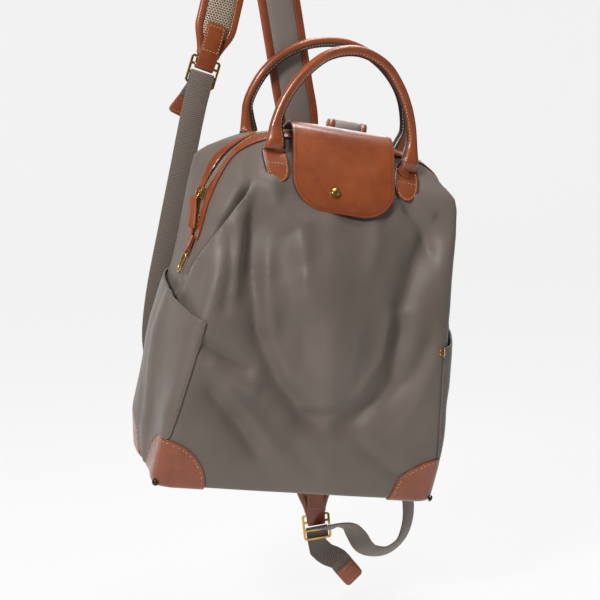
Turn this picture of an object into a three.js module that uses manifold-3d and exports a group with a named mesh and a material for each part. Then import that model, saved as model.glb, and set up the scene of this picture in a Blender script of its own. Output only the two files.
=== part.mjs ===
// Convertible backpack: a soft nylon body with leather trim and brass fittings, hanging from one of
// its two shoulder straps. Millimetres, +Z up.
// Everything is modelled in the bag's own frame, with the front at -Y, the right side at +X and the
// origin in the middle of the base. At the end the bag is leaned as it hangs, and the inside of the
// strap's top loop, where the bag is held, becomes the part's origin.
import * as THREE from "three";
import { mergeVertices } from "three/addons/utils/BufferGeometryUtils.js";
import Module from "manifold-3d";

const wasm = await Module();
wasm.setup();

// Driving dimensions
const gap = 0.3; // between two pieces that touch
const sliver = 0.03; // edges shorter than this, left by a cut, are merged away
const lean = { forward: 9.9, side: 7.2 }; // degrees that the hanging bag's top leans
const bag = { width: 290, depth: 132, height: 352, wall: 2, corner: 11, drape: 7 };
const leather = 1.6; // thickness of patches, edging and tabs
const corner = { reach: 49, across: 28, down: 16 };
const stud = { radius: 4.2, height: 2.6, sides: 8 };
const pocket = {
  thick: 1.6,
  stand: 8,
  foot: 9,
  frontLow: 139,
  frontHigh: 121,
  mouthFront: 166,
  mouthBack: 190,
};
const zip = { from: 8, slot: 9, end: 235, tape: 1.6, edging: 5, reach: 16, steps: 15 };
const slider = { width: 8.4, length: 12, thick: 3.4, bridge: 4.6, bar: 1.5, at: 277 };
const puller = { top: 9.4, bottom: 12.4, height: 8.5, bend: 1.1, wire: 1.5 };
const pullTab = { width: 9, length: 29, thick: 1.5 };
const ring = { width: 15, length: 24, wire: 2.5, at: 216 };
const ringTab = { width: 8.8, length: 17.5, thick: 1.4 };
const pocketRing = { radius: 4.5, wire: 1.6, up: 161 };
const handle = { tube: 9.5, sides: 8, tab: 26, tabThick: 2.4, tabLength: 34, flare: 20, flareThick: 7.5 };
const flap = { width: 106, thick: 2.2, round: 28, steps: 20 };
const snap = { radius: 5.2, height: 2.2, up: 0.841 * bag.height, aside: -4, postRadius: 4, sides: 16 };
const strap = { width: 44, edge: 8, thick: 7, narrow: 24, taper: 34, panel: 2.7 };
const padLength = { carrying: 507, hanging: 515 };
const endTab = { width: 20, thick: 2, overPad: 34, beyondPad: 11 };
const buckle = { width: 32, bar: 2.6, thick: 2.4, pitchTop: 8, pitchMiddle: 9.5, pitchBottom: 10 };
const webbing = { width: 25, thick: 1.5, squeeze: 0.62, squeezed: 44 };
const tail = { tip: 22, tipThick: 3.2 };
const anchor = { width: 92, height: 34, up: 301 };
const lowAnchor = { width: 34, height: 38, up: 64, aside: 130, slack: 1 };

const half = { width: bag.width / 2, depth: bag.depth / 2 };
const radians = (degrees) => (degrees * Math.PI) / 180;
const clamp = (t, low = 0, high = 1) => Math.min(high, Math.max(low, t));
const ease = (t) => clamp(t) ** 2 * (3 - 2 * clamp(t));
const mix = (a, b, t) => a + (b - a) * t;
const vec = (x, y, z) => new THREE.Vector3(x, y, z);
// A point given as shares of the bag's half width, half depth and height
const placed = ({ out, deep, up }) => vec(out * half.width, deep * half.depth, up * bag.height);

// Solids

// A closed geometry as a solid that booleans can use, turned the right way out.
function solidOf(geometry) {
  const bare = geometry.clone();
  bare.deleteAttribute("normal");
  bare.deleteAttribute("uv");
  const merged = mergeVertices(bare, 1e-4);
  const points = merged.attributes.position.array;
  const faces = new Uint32Array(merged.index.array);
  const make = () => {
    const mesh = new wasm.Mesh({ numProp: 3, vertProperties: points, triVerts: faces });
    return new wasm.Manifold(mesh);
  };
  const solid = make();
  if (solid.volume() > 0) return solid;
  for (let i = 0; i < faces.length; i += 3) [faces[i], faces[i + 1]] = [faces[i + 1], faces[i]];
  return make();
}

// A solid back as a geometry, its largest body alone, so that a cut leaves no crumb.
function geometryOf(solid) {
  const bodies = solid.simplify(sliver).decompose().sort((a, b) => b.volume() - a.volume());
  const { vertProperties, triVerts } = bodies[0].getMesh();
  const geometry = new THREE.BufferGeometry();
  geometry.setAttribute("position", new THREE.BufferAttribute(vertProperties, 3));
  geometry.setIndex(new THREE.BufferAttribute(triVerts, 1));
  const flat = geometry.toNonIndexed();
  flat.computeVertexNormals();
  return flat;
}

// A solid through matching rings of points, closed by a fan over each end. The sides listed in crossed
// are split along their other diagonal.
function loft(rings, crossed = []) {
  const count = rings[0].length;
  const points = rings.flat();
  const middle = (ring) => ring.reduce((sum, p) => sum.add(p), vec(0, 0, 0)).divideScalar(count);
  points.push(middle(rings[0]), middle(rings.at(-1)));
  const faces = [];
  for (let j = 0; j + 1 < rings.length; j += 1) {
    for (let i = 0; i < count; i += 1) {
      const a = j * count + i;
      const b = j * count + ((i + 1) % count);
      if (crossed.includes(i)) faces.push(a, b, a + count, b, b + count, a + count);
      else faces.push(a, b, b + count, a, b + count, a + count);
    }
  }
  const top = (rings.length - 1) * count;
  for (let i = 0; i < count; i += 1) {
    const next = (i + 1) % count;
    faces.push(next, i, points.length - 2, top + i, top + next, points.length - 1);
  }
  const geometry = new THREE.BufferGeometry().setFromPoints(points);
  geometry.setIndex(faces);
  return solidOf(geometry);
}

// A flat outline, given as points, made solid along its own third axis and set in place by a frame.
function prism(outline, from, to, right, up, origin = vec(0, 0, 0)) {
  const along = right.clone().cross(up);
  const ring = (distance) =>
    outline.map(([a, b]) =>
      origin.clone().addScaledVector(right, a).addScaledVector(up, b).addScaledVector(along, distance),
    );
  return loft([ring(from), ring(to)]);
}
const X = vec(1, 0, 0);
const Y = vec(0, 1, 0);
const Z = vec(0, 0, 1);

// The body

// A value of a table's column at a height, with smooth steps that never overshoot the rows.
function along(rows, column, up) {
  const last = rows.length - 1;
  let i = 0;
  while (i < last - 1 && up > rows[i + 1].up) i += 1;
  const slope = (k) => (rows[k + 1][column] - rows[k][column]) / (rows[k + 1].up - rows[k].up);
  const tangent = (k) => {
    if (k === 0) return slope(0);
    if (k === last) return slope(last - 1);
    const [before, after] = [slope(k - 1), slope(k)];
    return before * after <= 0 ? 0 : (2 * before * after) / (before + after);
  };
  const step = rows[i + 1].up - rows[i].up;
  const t = clamp((up - rows[i].up) / step);
  const [a, b] = [rows[i][column], rows[i + 1][column]];
  const start = a * (1 + 2 * t) * (1 - t) ** 2 + b * t * t * (3 - 2 * t);
  return start + step * (tangent(i) * t * (1 - t) ** 2 + tangent(i + 1) * t * t * (t - 1));
}

// The ridges that run up the body, in order round it from the front and seen from above. out is a
// share of the half width, deep of the half depth and up of the height. steps is the number of points
// to the next ridge, and belly how far the cloth between them swells, as a share of the half depth.
const RIDGES = [
  {
    name: "front centre",
    steps: 4,
    belly: 0.02,
    rows: [
      { up: 0, out: 0, deep: -1 },
      { up: 0.03, out: 0, deep: -1.04 },
      { up: 0.17, out: 0, deep: -1.1 },
      { up: 0.47, out: 0, deep: -1.09 },
      { up: 0.57, out: 0, deep: -1.03 },
      { up: 0.65, out: 0, deep: -0.93 },
      { up: 0.74, out: 0, deep: -0.78 },
      { up: 0.784, out: 0, deep: -0.66 },
      { up: 0.855, out: 0, deep: -0.42 },
      { up: 0.937, out: 0, deep: -0.1 },
      { up: 0.98, out: 0, deep: 0.02 },
      { up: 1, out: 0, deep: 0.06 },
    ],
  },
  {
    name: "front right",
    steps: 1,
    belly: 0,
    round: true,
    rows: [
      { up: 0, out: 1.0, deep: -0.97 },
      { up: 0.12, out: 1.0, deep: -1.06 },
      { up: 0.31, out: 0.945, deep: -1.09 },
      { up: 0.46, out: 0.89, deep: -1.06 },
      { up: 0.6, out: 0.85, deep: -0.96 },
      { up: 0.68, out: 0.835, deep: -0.85 },
      { up: 0.77, out: 0.84, deep: -0.72 },
      { up: 0.85, out: 0.86, deep: -0.55 },
      { up: 0.882, out: 0.875, deep: -0.46 },
      { up: 0.905, out: 0.8, deep: -0.34 },
      { up: 0.94, out: 0.715, deep: -0.17 },
      { up: 0.963, out: 0.62, deep: -0.05 },
      { up: 0.985, out: 0.42, deep: 0.03 },
      { up: 1, out: 0.19, deep: 0.06 },
    ],
  },
  {
    name: "lip of the right crease",
    steps: 0,
    belly: 0,
    rows: [
      { up: 0, out: 1.0, deep: -0.35 },
      { up: 0.31, out: 0.99, deep: -0.4 },
      { up: 0.5, out: 0.965, deep: -0.35 },
      { up: 0.6, out: 0.93, deep: -0.5 },
      { up: 0.68, out: 0.9, deep: -0.58 },
      { up: 0.77, out: 0.875, deep: -0.58 },
      { up: 0.85, out: 0.88, deep: -0.42 },
      { up: 0.905, out: 0.79, deep: -0.27 },
      { up: 0.963, out: 0.63, deep: 0 },
      { up: 1, out: 0.2, deep: 0.08 },
    ],
  },
  {
    name: "floor of the right crease",
    steps: 2,
    belly: 0.05,
    rows: [
      { up: 0, out: 1.005, deep: -0.2 },
      { up: 0.31, out: 1.01, deep: -0.2 },
      { up: 0.5, out: 0.97, deep: -0.2 },
      { up: 0.6, out: 0.9, deep: -0.34 },
      { up: 0.68, out: 0.86, deep: -0.42 },
      { up: 0.77, out: 0.835, deep: -0.42 },
      { up: 0.85, out: 0.85, deep: -0.28 },
      { up: 0.905, out: 0.785, deep: -0.16 },
      { up: 0.963, out: 0.64, deep: 0.04 },
      { up: 1, out: 0.2, deep: 0.1 },
    ],
  },
  {
    name: "right side",
    steps: 2,
    belly: 0.03,
    rows: [
      { up: 0, out: 1.01, deep: 0.12 },
      { up: 0.14, out: 1.045, deep: 0.12 },
      { up: 0.32, out: 1.02, deep: 0.12 },
      { up: 0.48, out: 0.995, deep: 0.12 },
      { up: 0.6, out: 0.99, deep: 0.12 },
      { up: 0.668, out: 0.96, deep: 0.12 },
      { up: 0.73, out: 0.92, deep: 0.12 },
      { up: 0.8, out: 0.875, deep: 0.12 },
      { up: 0.861, out: 0.815, deep: 0.12 },
      { up: 0.906, out: 0.76, deep: 0.12 },
      { up: 0.943, out: 0.7, deep: 0.12 },
      { up: 0.967, out: 0.62, deep: 0.12 },
      { up: 0.986, out: 0.42, deep: 0.12 },
      { up: 1, out: 0.2, deep: 0.12 },
    ],
  },
  {
    name: "back right",
    steps: 2,
    belly: 0.03,
    round: true,
    rows: [
      { up: 0, out: 1.01, deep: 0.97 },
      { up: 0.15, out: 1.05, deep: 1.02 },
      { up: 0.32, out: 1.02, deep: 1.04 },
      { up: 0.54, out: 0.97, deep: 1.02 },
      { up: 0.85, out: 0.93, deep: 0.78 },
      { up: 0.888, out: 0.92, deep: 0.7 },
      { up: 0.915, out: 0.84, deep: 0.67 },
      { up: 0.94, out: 0.76, deep: 0.64 },
      { up: 0.967, out: 0.65, deep: 0.58 },
      { up: 0.986, out: 0.5, deep: 0.42 },
      { up: 1, out: 0.19, deep: 0.18 },
    ],
  },
  {
    name: "back centre",
    steps: 2,
    belly: 0.03,
    rows: [
      { up: 0, out: 0, deep: 1 },
      { up: 0.17, out: 0, deep: 1.09 },
      { up: 0.47, out: 0, deep: 1.09 },
      { up: 0.71, out: 0, deep: 0.98 },
      { up: 0.85, out: 0, deep: 0.88 },
      { up: 0.915, out: 0, deep: 0.79 },
      { up: 0.94, out: 0, deep: 0.72 },
      { up: 0.967, out: 0, deep: 0.6 },
      { up: 0.986, out: 0, deep: 0.42 },
      { up: 1, out: 0, deep: 0.18 },
    ],
  },
  {
    name: "back left",
    steps: 2,
    belly: 0.03,
    round: true,
    rows: [
      { up: 0, out: -1.02, deep: 0.97 },
      { up: 0.07, out: -1.06, deep: 1.0 },
      { up: 0.14, out: -1.07, deep: 1.02 },
      { up: 0.2, out: -1.06, deep: 1.03 },
      { up: 0.32, out: -1.035, deep: 1.04 },
      { up: 0.48, out: -1.0, deep: 1.03 },
      { up: 0.54, out: -0.97, deep: 1.0 },
      { up: 0.7, out: -0.965, deep: 0.92 },
      { up: 0.85, out: -0.967, deep: 0.76 },
      { up: 0.893, out: -0.97, deep: 0.69 },
      { up: 0.915, out: -0.88, deep: 0.68 },
      { up: 0.94, out: -0.78, deep: 0.66 },
      { up: 0.967, out: -0.66, deep: 0.6 },
      { up: 0.986, out: -0.5, deep: 0.44 },
      { up: 1, out: -0.19, deep: 0.18 },
    ],
  },
  {
    name: "left side",
    steps: 2,
    belly: 0.05,
    rows: [
      { up: 0, out: -1.01, deep: 0.12 },
      { up: 0.14, out: -1.048, deep: 0.12 },
      { up: 0.324, out: -1.028, deep: 0.12 },
      { up: 0.477, out: -0.98, deep: 0.12 },
      { up: 0.545, out: -0.945, deep: 0.12 },
      { up: 0.61, out: -0.905, deep: 0.12 },
      { up: 0.668, out: -0.875, deep: 0.12 },
      { up: 0.724, out: -0.873, deep: 0.12 },
      { up: 0.781, out: -0.868, deep: 0.12 },
      { up: 0.813, out: -0.848, deep: 0.12 },
      { up: 0.861, out: -0.793, deep: 0.12 },
      { up: 0.906, out: -0.724, deep: 0.12 },
      { up: 0.943, out: -0.648, deep: 0.12 },
      { up: 0.967, out: -0.56, deep: 0.12 },
      { up: 0.986, out: -0.4, deep: 0.12 },
      { up: 1, out: -0.2, deep: 0.12 },
    ],
  },
  {
    name: "floor of the left crease",
    steps: 0,
    belly: 0,
    rows: [
      { up: 0, out: -1.005, deep: -0.2 },
      { up: 0.31, out: -1.01, deep: -0.2 },
      { up: 0.47, out: -0.965, deep: -0.13 },
      { up: 0.52, out: -0.93, deep: -0.13 },
      { up: 0.58, out: -0.855, deep: -0.26 },
      { up: 0.66, out: -0.775, deep: -0.42 },
      { up: 0.757, out: -0.69, deep: -0.5 },
      { up: 0.825, out: -0.64, deep: -0.52 },
      { up: 0.86, out: -0.655, deep: -0.4 },
      { up: 0.905, out: -0.665, deep: -0.12 },
      { up: 0.963, out: -0.54, deep: 0.05 },
      { up: 1, out: -0.2, deep: 0.1 },
    ],
  },
  {
    name: "lip of the left crease",
    steps: 1,
    belly: 0,
    rows: [
      { up: 0, out: -1.0, deep: -0.35 },
      { up: 0.31, out: -0.985, deep: -0.4 },
      { up: 0.47, out: -0.955, deep: -0.22 },
      { up: 0.52, out: -0.945, deep: -0.22 },
      { up: 0.58, out: -0.93, deep: -0.38 },
      { up: 0.66, out: -0.883, deep: -0.61 },
      { up: 0.757, out: -0.755, deep: -0.7 },
      { up: 0.825, out: -0.675, deep: -0.69 },
      { up: 0.86, out: -0.655, deep: -0.56 },
      { up: 0.905, out: -0.63, deep: -0.27 },
      { up: 0.963, out: -0.51, deep: 0 },
      { up: 1, out: -0.2, deep: 0.08 },
    ],
  },
  {
    name: "front left",
    steps: 4,
    belly: 0.02,
    round: true,
    rows: [
      { up: 0, out: -1.01, deep: -0.97 },
      { up: 0.13, out: -1.005, deep: -1.06 },
      { up: 0.31, out: -0.945, deep: -1.09 },
      { up: 0.47, out: -0.885, deep: -1.06 },
      { up: 0.6, out: -0.81, deep: -0.96 },
      { up: 0.68, out: -0.745, deep: -0.87 },
      { up: 0.77, out: -0.685, deep: -0.78 },
      { up: 0.85, out: -0.62, deep: -0.68 },
      { up: 0.905, out: -0.585, deep: -0.42 },
      { up: 0.963, out: -0.47, deep: -0.06 },
      { up: 0.985, out: -0.36, deep: 0.03 },
      { up: 1, out: -0.19, deep: 0.06 },
    ],
  },
];
// Heights of the rows of points up the body, as shares of its height
const LEVELS = [
  0, 0.02, 0.11, 0.21, 0.31, 0.4, 0.48, 0.55, 0.62, 0.69, 0.75, 0.805, 0.855, 0.888, 0.915, 0.942, 0.966,
  0.985, 1,
];
// Folds of the front cloth, from one point to another: broad is the width of the fold as a share of
// the half width, and rise how far it stands out (or, below 0, sinks in) as a share of bag.drape.
const FOLDS = [
  { fromOut: -0.44, fromUp: 0.82, toOut: -0.3, toUp: 0.42, broad: 0.13, rise: -0.55 },
  { fromOut: -0.34, fromUp: 0.5, toOut: 0.1, toUp: 0.21, broad: 0.13, rise: -0.8 },
  { fromOut: 0.5, fromUp: 0.8, toOut: 0.44, toUp: 0.42, broad: 0.15, rise: -0.6 },
  { fromOut: 0.46, fromUp: 0.5, toOut: 0.12, toUp: 0.21, broad: 0.14, rise: -0.7 },
  { fromOut: -0.05, fromUp: 0.72, toOut: 0.09, toUp: 0.3, broad: 0.22, rise: 0.9 },
  { fromOut: -0.5, fromUp: 0.84, toOut: -0.14, toUp: 0.56, broad: 0.07, rise: 0.35 },
  { fromOut: -0.62, fromUp: 0.84, toOut: -0.6, toUp: 0.52, broad: 0.09, rise: -0.7 },
  { fromOut: -0.8, fromUp: 0.45, toOut: -0.3, toUp: 0.33, broad: 0.12, rise: -0.55 },
  { fromOut: -0.82, fromUp: 0.33, toOut: -0.3, toUp: 0.13, broad: 0.13, rise: -0.55 },
  { fromOut: -0.8, fromUp: 0.39, toOut: -0.36, toUp: 0.24, broad: 0.1, rise: 0.4 },
  { fromOut: 0.55, fromUp: 0.82, toOut: 0.78, toUp: 0.62, broad: 0.1, rise: -0.5 },
];

function foldAt(x, z) {
  let depth = 0;
  for (const fold of FOLDS) {
    const from = { x: fold.fromOut * half.width, z: fold.fromUp * bag.height };
    const run = { x: fold.toOut * half.width - from.x, z: fold.toUp * bag.height - from.z };
    const length = Math.hypot(run.x, run.z);
    const share = ((x - from.x) * run.x + (z - from.z) * run.z) / length ** 2;
    const aside = ((x - from.x) * run.z - (z - from.z) * run.x) / length;
    const fade = ease((share + 0.12) / 0.3) * ease((1.15 - share) / 0.35);
    depth += fold.rise * fade * Math.exp(-((aside / (fold.broad * half.width)) ** 2));
  }
  return depth * bag.drape;
}

// The ring of points round the body at a height, with the folds on its front.
function ringAt(z) {
  const up = z / bag.height;
  const keys = RIDGES.map((ridge) => ({
    ...ridge,
    at: vec(along(ridge.rows, "out", up) * half.width, along(ridge.rows, "deep", up) * half.depth, z),
  }));
  const spans = keys.map((key, i) => {
    const before = keys.at(i - 1).at.clone().sub(key.at);
    const after = keys[(i + 1) % keys.length].at.clone().sub(key.at);
    const reach = key.round ? Math.min(bag.corner, before.length() * 0.4, after.length() * 0.4) : 0;
    const enter = key.at.clone().addScaledVector(before.normalize(), reach);
    const leave = key.at.clone().addScaledVector(after.normalize(), reach);
    const turn = enter.clone().add(leave).multiplyScalar(0.25).addScaledVector(key.at, 0.5);
    return { points: key.round ? [enter, turn, leave] : [key.at.clone()], enter, leave };
  });
  const ring = [];
  keys.forEach((key, i) => {
    ring.push(...spans[i].points);
    const [a, b] = [spans[i].leave, spans[(i + 1) % keys.length].enter];
    const outward = b.clone().sub(a).cross(Z).normalize();
    for (let k = 1; k <= key.steps; k += 1) {
      const t = k / (key.steps + 1);
      const swell = key.belly * half.depth * Math.sin(Math.PI * t);
      ring.push(a.clone().lerp(b, t).addScaledVector(outward, swell));
    }
  });
  const [left, right] = [keys.at(-1).at.x, keys[1].at.x];
  const front = RIDGES[0].steps + 2;
  ring.forEach((p, i) => {
    if (i >= front && i <= ring.length - front) return;
    const t = (p.x - left) / (right - left);
    p.y -= foldAt(p.x, z) * ease(Math.min(t, 1 - t) / 0.12);
  });
  return ring;
}

const grid = LEVELS.map((up) => ringAt(up * bag.height));
const count = grid[0].length;
const normals = grid.map((ring, j) =>
  ring.map((p, i) => {
    const round = ring[(i + 1) % count].clone().sub(ring[(i + count - 1) % count]);
    const rise = grid[Math.min(j + 1, grid.length - 1)][i].clone().sub(grid[Math.max(j - 1, 0)][i]);
    if (j === 0) return round.cross(Z).normalize().multiplyScalar(0.6).sub(Z);
    if (j === grid.length - 1) return round.cross(Z).normalize().multiplyScalar(0.6).add(Z);
    return round.cross(rise).normalize();
  }),
);

// The body's outer surface moved outwards, by one distance or by one that a function gives.
function shell(offset) {
  const distance = typeof offset === "function" ? offset : () => offset;
  const moved = (p, normal) => p.clone().addScaledVector(normal, distance(p));
  return loft(grid.map((ring, j) => ring.map((p, i) => moved(p, normals[j][i]))));
}
const outerShell = shell(0);
const clearShell = shell(gap);
const leatherShell = shell(gap + leather);

// A sheet that lies on the body inside an outline.
const skin = (region) => region.intersect(leatherShell).subtract(clearShell).subtract(outerShell);

// The y of the front or back cloth at a place, and the direction that it faces.
function clothAt(x, z, side) {
  const ring = ringAt(clamp(z, 1, bag.height - 1));
  let found = null;
  ring.forEach((p, i) => {
    const q = ring[(i + 1) % ring.length];
    if ((p.x - x) * (q.x - x) > 0 || p.x === q.x) return;
    const y = mix(p.y, q.y, (x - p.x) / (q.x - p.x));
    if (found === null || y * side > found * side) found = y;
  });
  return found;
}
function clothFrame(x, z, side) {
  const step = 3;
  const y = clothAt(x, z, side);
  const slopeX = (clothAt(x + step, z, side) - clothAt(x - step, z, side)) / (2 * step);
  const slopeZ = (clothAt(x, z + step, side) - clothAt(x, z - step, side)) / (2 * step);
  return { at: vec(x, y, z), out: vec(-slopeX * side, side, -slopeZ * side).normalize() };
}

// The zip runs over the top from side to side, along the two side ridges.
const leftSide = RIDGES.find((ridge) => ridge.name === "left side");
const rightSide = RIDGES.find((ridge) => ridge.name === "right side");
function sideAt(z, ridge) {
  return along(ridge.rows, "out", z / bag.height) * half.width;
}
function zipLine() {
  const rise = (ridge) =>
    ridge.rows.filter((row) => row.up * bag.height > zip.end + 4).map((row) => placed({ ...row, deep: 0 }));
  const end = (ridge) => vec(sideAt(zip.end, ridge), 0, zip.end);
  const stops = [end(leftSide), ...rise(leftSide), ...rise(rightSide).reverse(), end(rightSide)];
  return new THREE.CatmullRomCurve3(stops, false, "centripetal");
}
const zipCurve = zipLine();
const zipLength = zipCurve.getLength();
const zipFrames = Array.from({ length: zip.steps + 1 }, (_, i) => zipFrame(i / zip.steps));
function zipFrame(t) {
  const at = zipCurve.getPointAt(t);
  const forward = zipCurve.getTangentAt(t);
  return { at, forward, out: forward.clone().cross(Y).normalize() };
}
// A bar that follows the zip: it reaches from one depth to another and from one y to another.
function zipBand(frames, below, above, front, back) {
  return loft(
    frames.map(({ at, out }) => {
      const low = at.clone().addScaledVector(out, below);
      const high = at.clone().addScaledVector(out, above);
      return [low, high, high, low].map((p, k) => p.clone().setY(k < 2 ? front : back));
    }),
  );
}
const slot = { front: zip.from - zip.slot / 2, back: zip.from + zip.slot / 2 };

function bagBody() {
  const hollow = shell(-bag.wall);
  const mouth = zipBand(zipFrames, -zip.reach, zip.reach, slot.front, slot.back);
  return outerShell.subtract(hollow).subtract(mouth);
}

function zipEdging(side) {
  const [near, far] = side < 0 ? [slot.front, slot.front - zip.edging] : [slot.back, slot.back + zip.edging];
  return skin(zipBand(zipFrames, -zip.reach, zip.reach, near, far));
}

function zipChain() {
  const inner = Array.from({ length: zip.steps + 1 }, (_, i) =>
    zipFrame(mix(gap / zipLength, 1 - gap / zipLength, i / zip.steps)),
  );
  return zipBand(inner, -zip.tape / 2, zip.tape / 2, slot.front + gap, slot.back - gap);
}

// Small solids

function ball(radius, at) {
  const geometry = new THREE.SphereGeometry(radius, 16, 9);
  geometry.translate(at.x, at.y, at.z);
  return solidOf(geometry);
}

// A turned piece whose axis points a given way, its foot at a point. The profile is radius and height.
function turned(profile, sides, at, direction) {
  const geometry = new THREE.LatheGeometry(
    profile.map(([radius, height]) => new THREE.Vector2(radius, height)),
    sides,
  );
  geometry.applyQuaternion(new THREE.Quaternion().setFromUnitVectors(Y, direction.clone().normalize()));
  geometry.translate(at.x, at.y, at.z);
  return solidOf(geometry);
}
const dome = (radius, height) => [
  [0, 0],
  [radius, 0],
  [radius, height * 0.3],
  [radius * 0.8, height * 0.75],
  [radius * 0.4, height * 0.97],
  [0, height],
];

// A closed wire: its section goes round each point of a loop that lies in one plane.
function wireLoop(points, radius, sides, axis) {
  const rings = points.map((p, i) => {
    const forward = points[(i + 1) % points.length].clone().sub(points.at(i - 1)).normalize();
    const out = forward.clone().cross(axis).normalize();
    return Array.from({ length: sides }, (_, k) => {
      const angle = (k / sides) * 2 * Math.PI;
      return p
        .clone()
        .addScaledVector(out, radius * Math.cos(angle))
        .addScaledVector(axis, radius * Math.sin(angle));
    });
  });
  const vertices = rings.flat();
  const faces = [];
  rings.forEach((_, j) => {
    const next = (j + 1) % rings.length;
    for (let i = 0; i < sides; i += 1) {
      const turn = (i + 1) % sides;
      const [a, b, c, d] = [j * sides + i, j * sides + turn, next * sides + turn, next * sides + i];
      faces.push(a, b, c, a, c, d);
    }
  });
  const geometry = new THREE.BufferGeometry().setFromPoints(vertices);
  geometry.setIndex(faces);
  return solidOf(geometry);
}

// A strip along frames of a place, a direction across and a direction that it faces. Both its broad
// sides are split along the same diagonals, so that they stay apart where the strip twists.
function ribbon(frames, width, thick) {
  const rings = frames.map(({ at, across, face, share = 1 }) => {
    const wide = (share * width) / 2;
    return [
      [-wide, -thick / 2],
      [wide, -thick / 2],
      [wide, thick / 2],
      [-wide, thick / 2],
    ].map(([a, b]) => at.clone().addScaledVector(across, a).addScaledVector(face, b));
  });
  return loft(rings, [2]);
}

// The frames of a strip folded round a bar: out along one leg, round the bar and back along the other.
// With a start angle, the strip leaves the bar there and has no first leg.
function foldRound({ bar, across, face, away, radius, legs, spread, start = 0 }) {
  const steps = 6;
  const leg = (length, side) => ({
    at: bar.clone().addScaledVector(away, length).addScaledVector(face, side * spread),
    across,
    face: face.clone().multiplyScalar(side),
  });
  const arc = Array.from({ length: steps + 1 }, (_, i) => {
    const angle = mix(start, Math.PI, i / steps);
    const out = face.clone().multiplyScalar(Math.cos(angle)).addScaledVector(away, -Math.sin(angle));
    return { at: bar.clone().addScaledVector(out, radius), across, face: out };
  });
  return [...(start > 0 ? [] : [leg(legs[0], 1)]), ...arc, leg(legs[1], -1)];
}

// Corners of the base

const CORNERS = [
  { name: "front_left", ridge: "front left", x: -1, y: -1 },
  { name: "front_right", ridge: "front right", x: 1, y: -1 },
  { name: "back_left", ridge: "back left", x: -1, y: 1 },
  { name: "back_right", ridge: "back right", x: 1, y: 1 },
];
function cornerPoint(where) {
  const { rows } = RIDGES.find((ridge) => ridge.name === where.ridge);
  return placed(rows[0]);
}
const cornerPatch = (where) => skin(ball(corner.reach, cornerPoint(where)));

function cornerStud(where) {
  const direction = vec(where.x, where.y, -0.55).normalize();
  const at = cornerPoint(where).addScaledVector(vec(where.x, where.y, 0).normalize(), -corner.across / 6);
  const under = leather + 2 * gap;
  const foot = at.clone().setZ(corner.down / 4);
  return turned(dome(stud.radius, stud.height + under), stud.sides, foot, direction).subtract(shell(under));
}

// Side pockets, from the seam on the front cloth round the side to the back ridge

function sidePocket(side) {
  const seamHigh = pocket.mouthFront;
  const far = bag.width;
  const front = prism(
    [
      [side * far, pocket.foot],
      [side * (pocket.frontLow + 4), pocket.foot],
      [side * pocket.frontLow, 47],
      [side * pocket.frontHigh, seamHigh],
      [side * (pocket.frontHigh - 4), bag.height],
      [side * far, bag.height],
    ],
    -bag.depth,
    bag.depth,
    X,
    Z,
  );
  const slope = (pocket.mouthBack - seamHigh) / bag.depth;
  const mouth = prism(
    [
      [-bag.depth, pocket.foot],
      [half.depth * 0.93, pocket.foot],
      [half.depth * 0.93, pocket.mouthBack],
      [-half.depth, seamHigh],
      [-bag.depth, seamHigh - slope * half.depth],
    ],
    -bag.width,
    bag.width,
    Y,
    Z,
  );
  const stand = (p) => {
    const round = clamp((p.y + half.depth * 1.05) / (bag.depth * 0.98));
    const rise = ease((p.z - pocket.foot) / (seamHigh - pocket.foot));
    return pocket.stand * Math.sin(Math.PI * round) ** 0.8 * rise ** 1.3;
  };
  const inside = shell((p) => gap + stand(p));
  const outside = shell((p) => gap + pocket.thick + stand(p));
  let solid = front.intersect(mouth).intersect(outside).subtract(inside);
  for (const where of CORNERS.filter(({ x }) => x === side)) {
    solid = solid.subtract(ball(corner.reach + gap, cornerPoint(where)));
  }
  return solid;
}

function pocketRingSolid() {
  const at = clothFrame(pocket.frontHigh - 3, pocketRing.up, -1);
  const middle = at.at.clone().addScaledVector(at.out, pocketRing.radius + pocketRing.wire / 2 + gap);
  const points = Array.from({ length: 12 }, (_, i) => {
    const angle = (i / 12) * 2 * Math.PI;
    return middle
      .clone()
      .addScaledVector(at.out, pocketRing.radius * Math.cos(angle))
      .addScaledVector(Z, pocketRing.radius * Math.sin(angle));
  });
  return wireLoop(points, pocketRing.wire / 2, 6, at.out.clone().cross(Z).normalize()).subtract(clearShell);
}

// Slider, its link and its leather tab on the left end of the zip

function zipParamAt(z) {
  let [low, high] = [0, 0.5];
  for (let i = 0; i < 40; i += 1) {
    const middle = (low + high) / 2;
    if (zipCurve.getPointAt(middle).z < z) low = middle;
    else high = middle;
  }
  return low;
}
const sliderFrame = zipFrame(zipParamAt(slider.at));
const sliderFoot = zip.tape / 2 + gap;

function zipSlider() {
  const { at, forward, out } = sliderFrame;
  const centre = at.clone().setY(zip.from);
  const block = prism(
    [
      [-slider.length / 2, sliderFoot],
      [slider.length / 2, sliderFoot],
      [slider.length / 2 - 1.5, sliderFoot + slider.thick],
      [-slider.length / 2 + 1.5, sliderFoot + slider.thick],
    ],
    -slider.width / 2,
    slider.width / 2,
    forward,
    out,
    centre,
  );
  const top = sliderFoot + slider.thick;
  const arch = [
    [-slider.length / 2 + 1.5, top - 0.6],
    [slider.length / 2 - 1.5, top - 0.6],
    [slider.length / 2 - 2.5, top + slider.bridge],
    [-slider.length / 2 + 2.5, top + slider.bridge],
  ];
  const hole = [
    [-slider.length / 2 + 3.2, top],
    [slider.length / 2 - 3.2, top],
    [slider.length / 2 - 4, top + slider.bridge - slider.bar],
    [-slider.length / 2 + 4, top + slider.bridge - slider.bar],
  ];
  const bridge = prism(arch, -slider.bar, slider.bar, forward, out, centre);
  return block.add(bridge.subtract(prism(hole, -slider.width, slider.width, forward, out, centre)));
}

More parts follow.
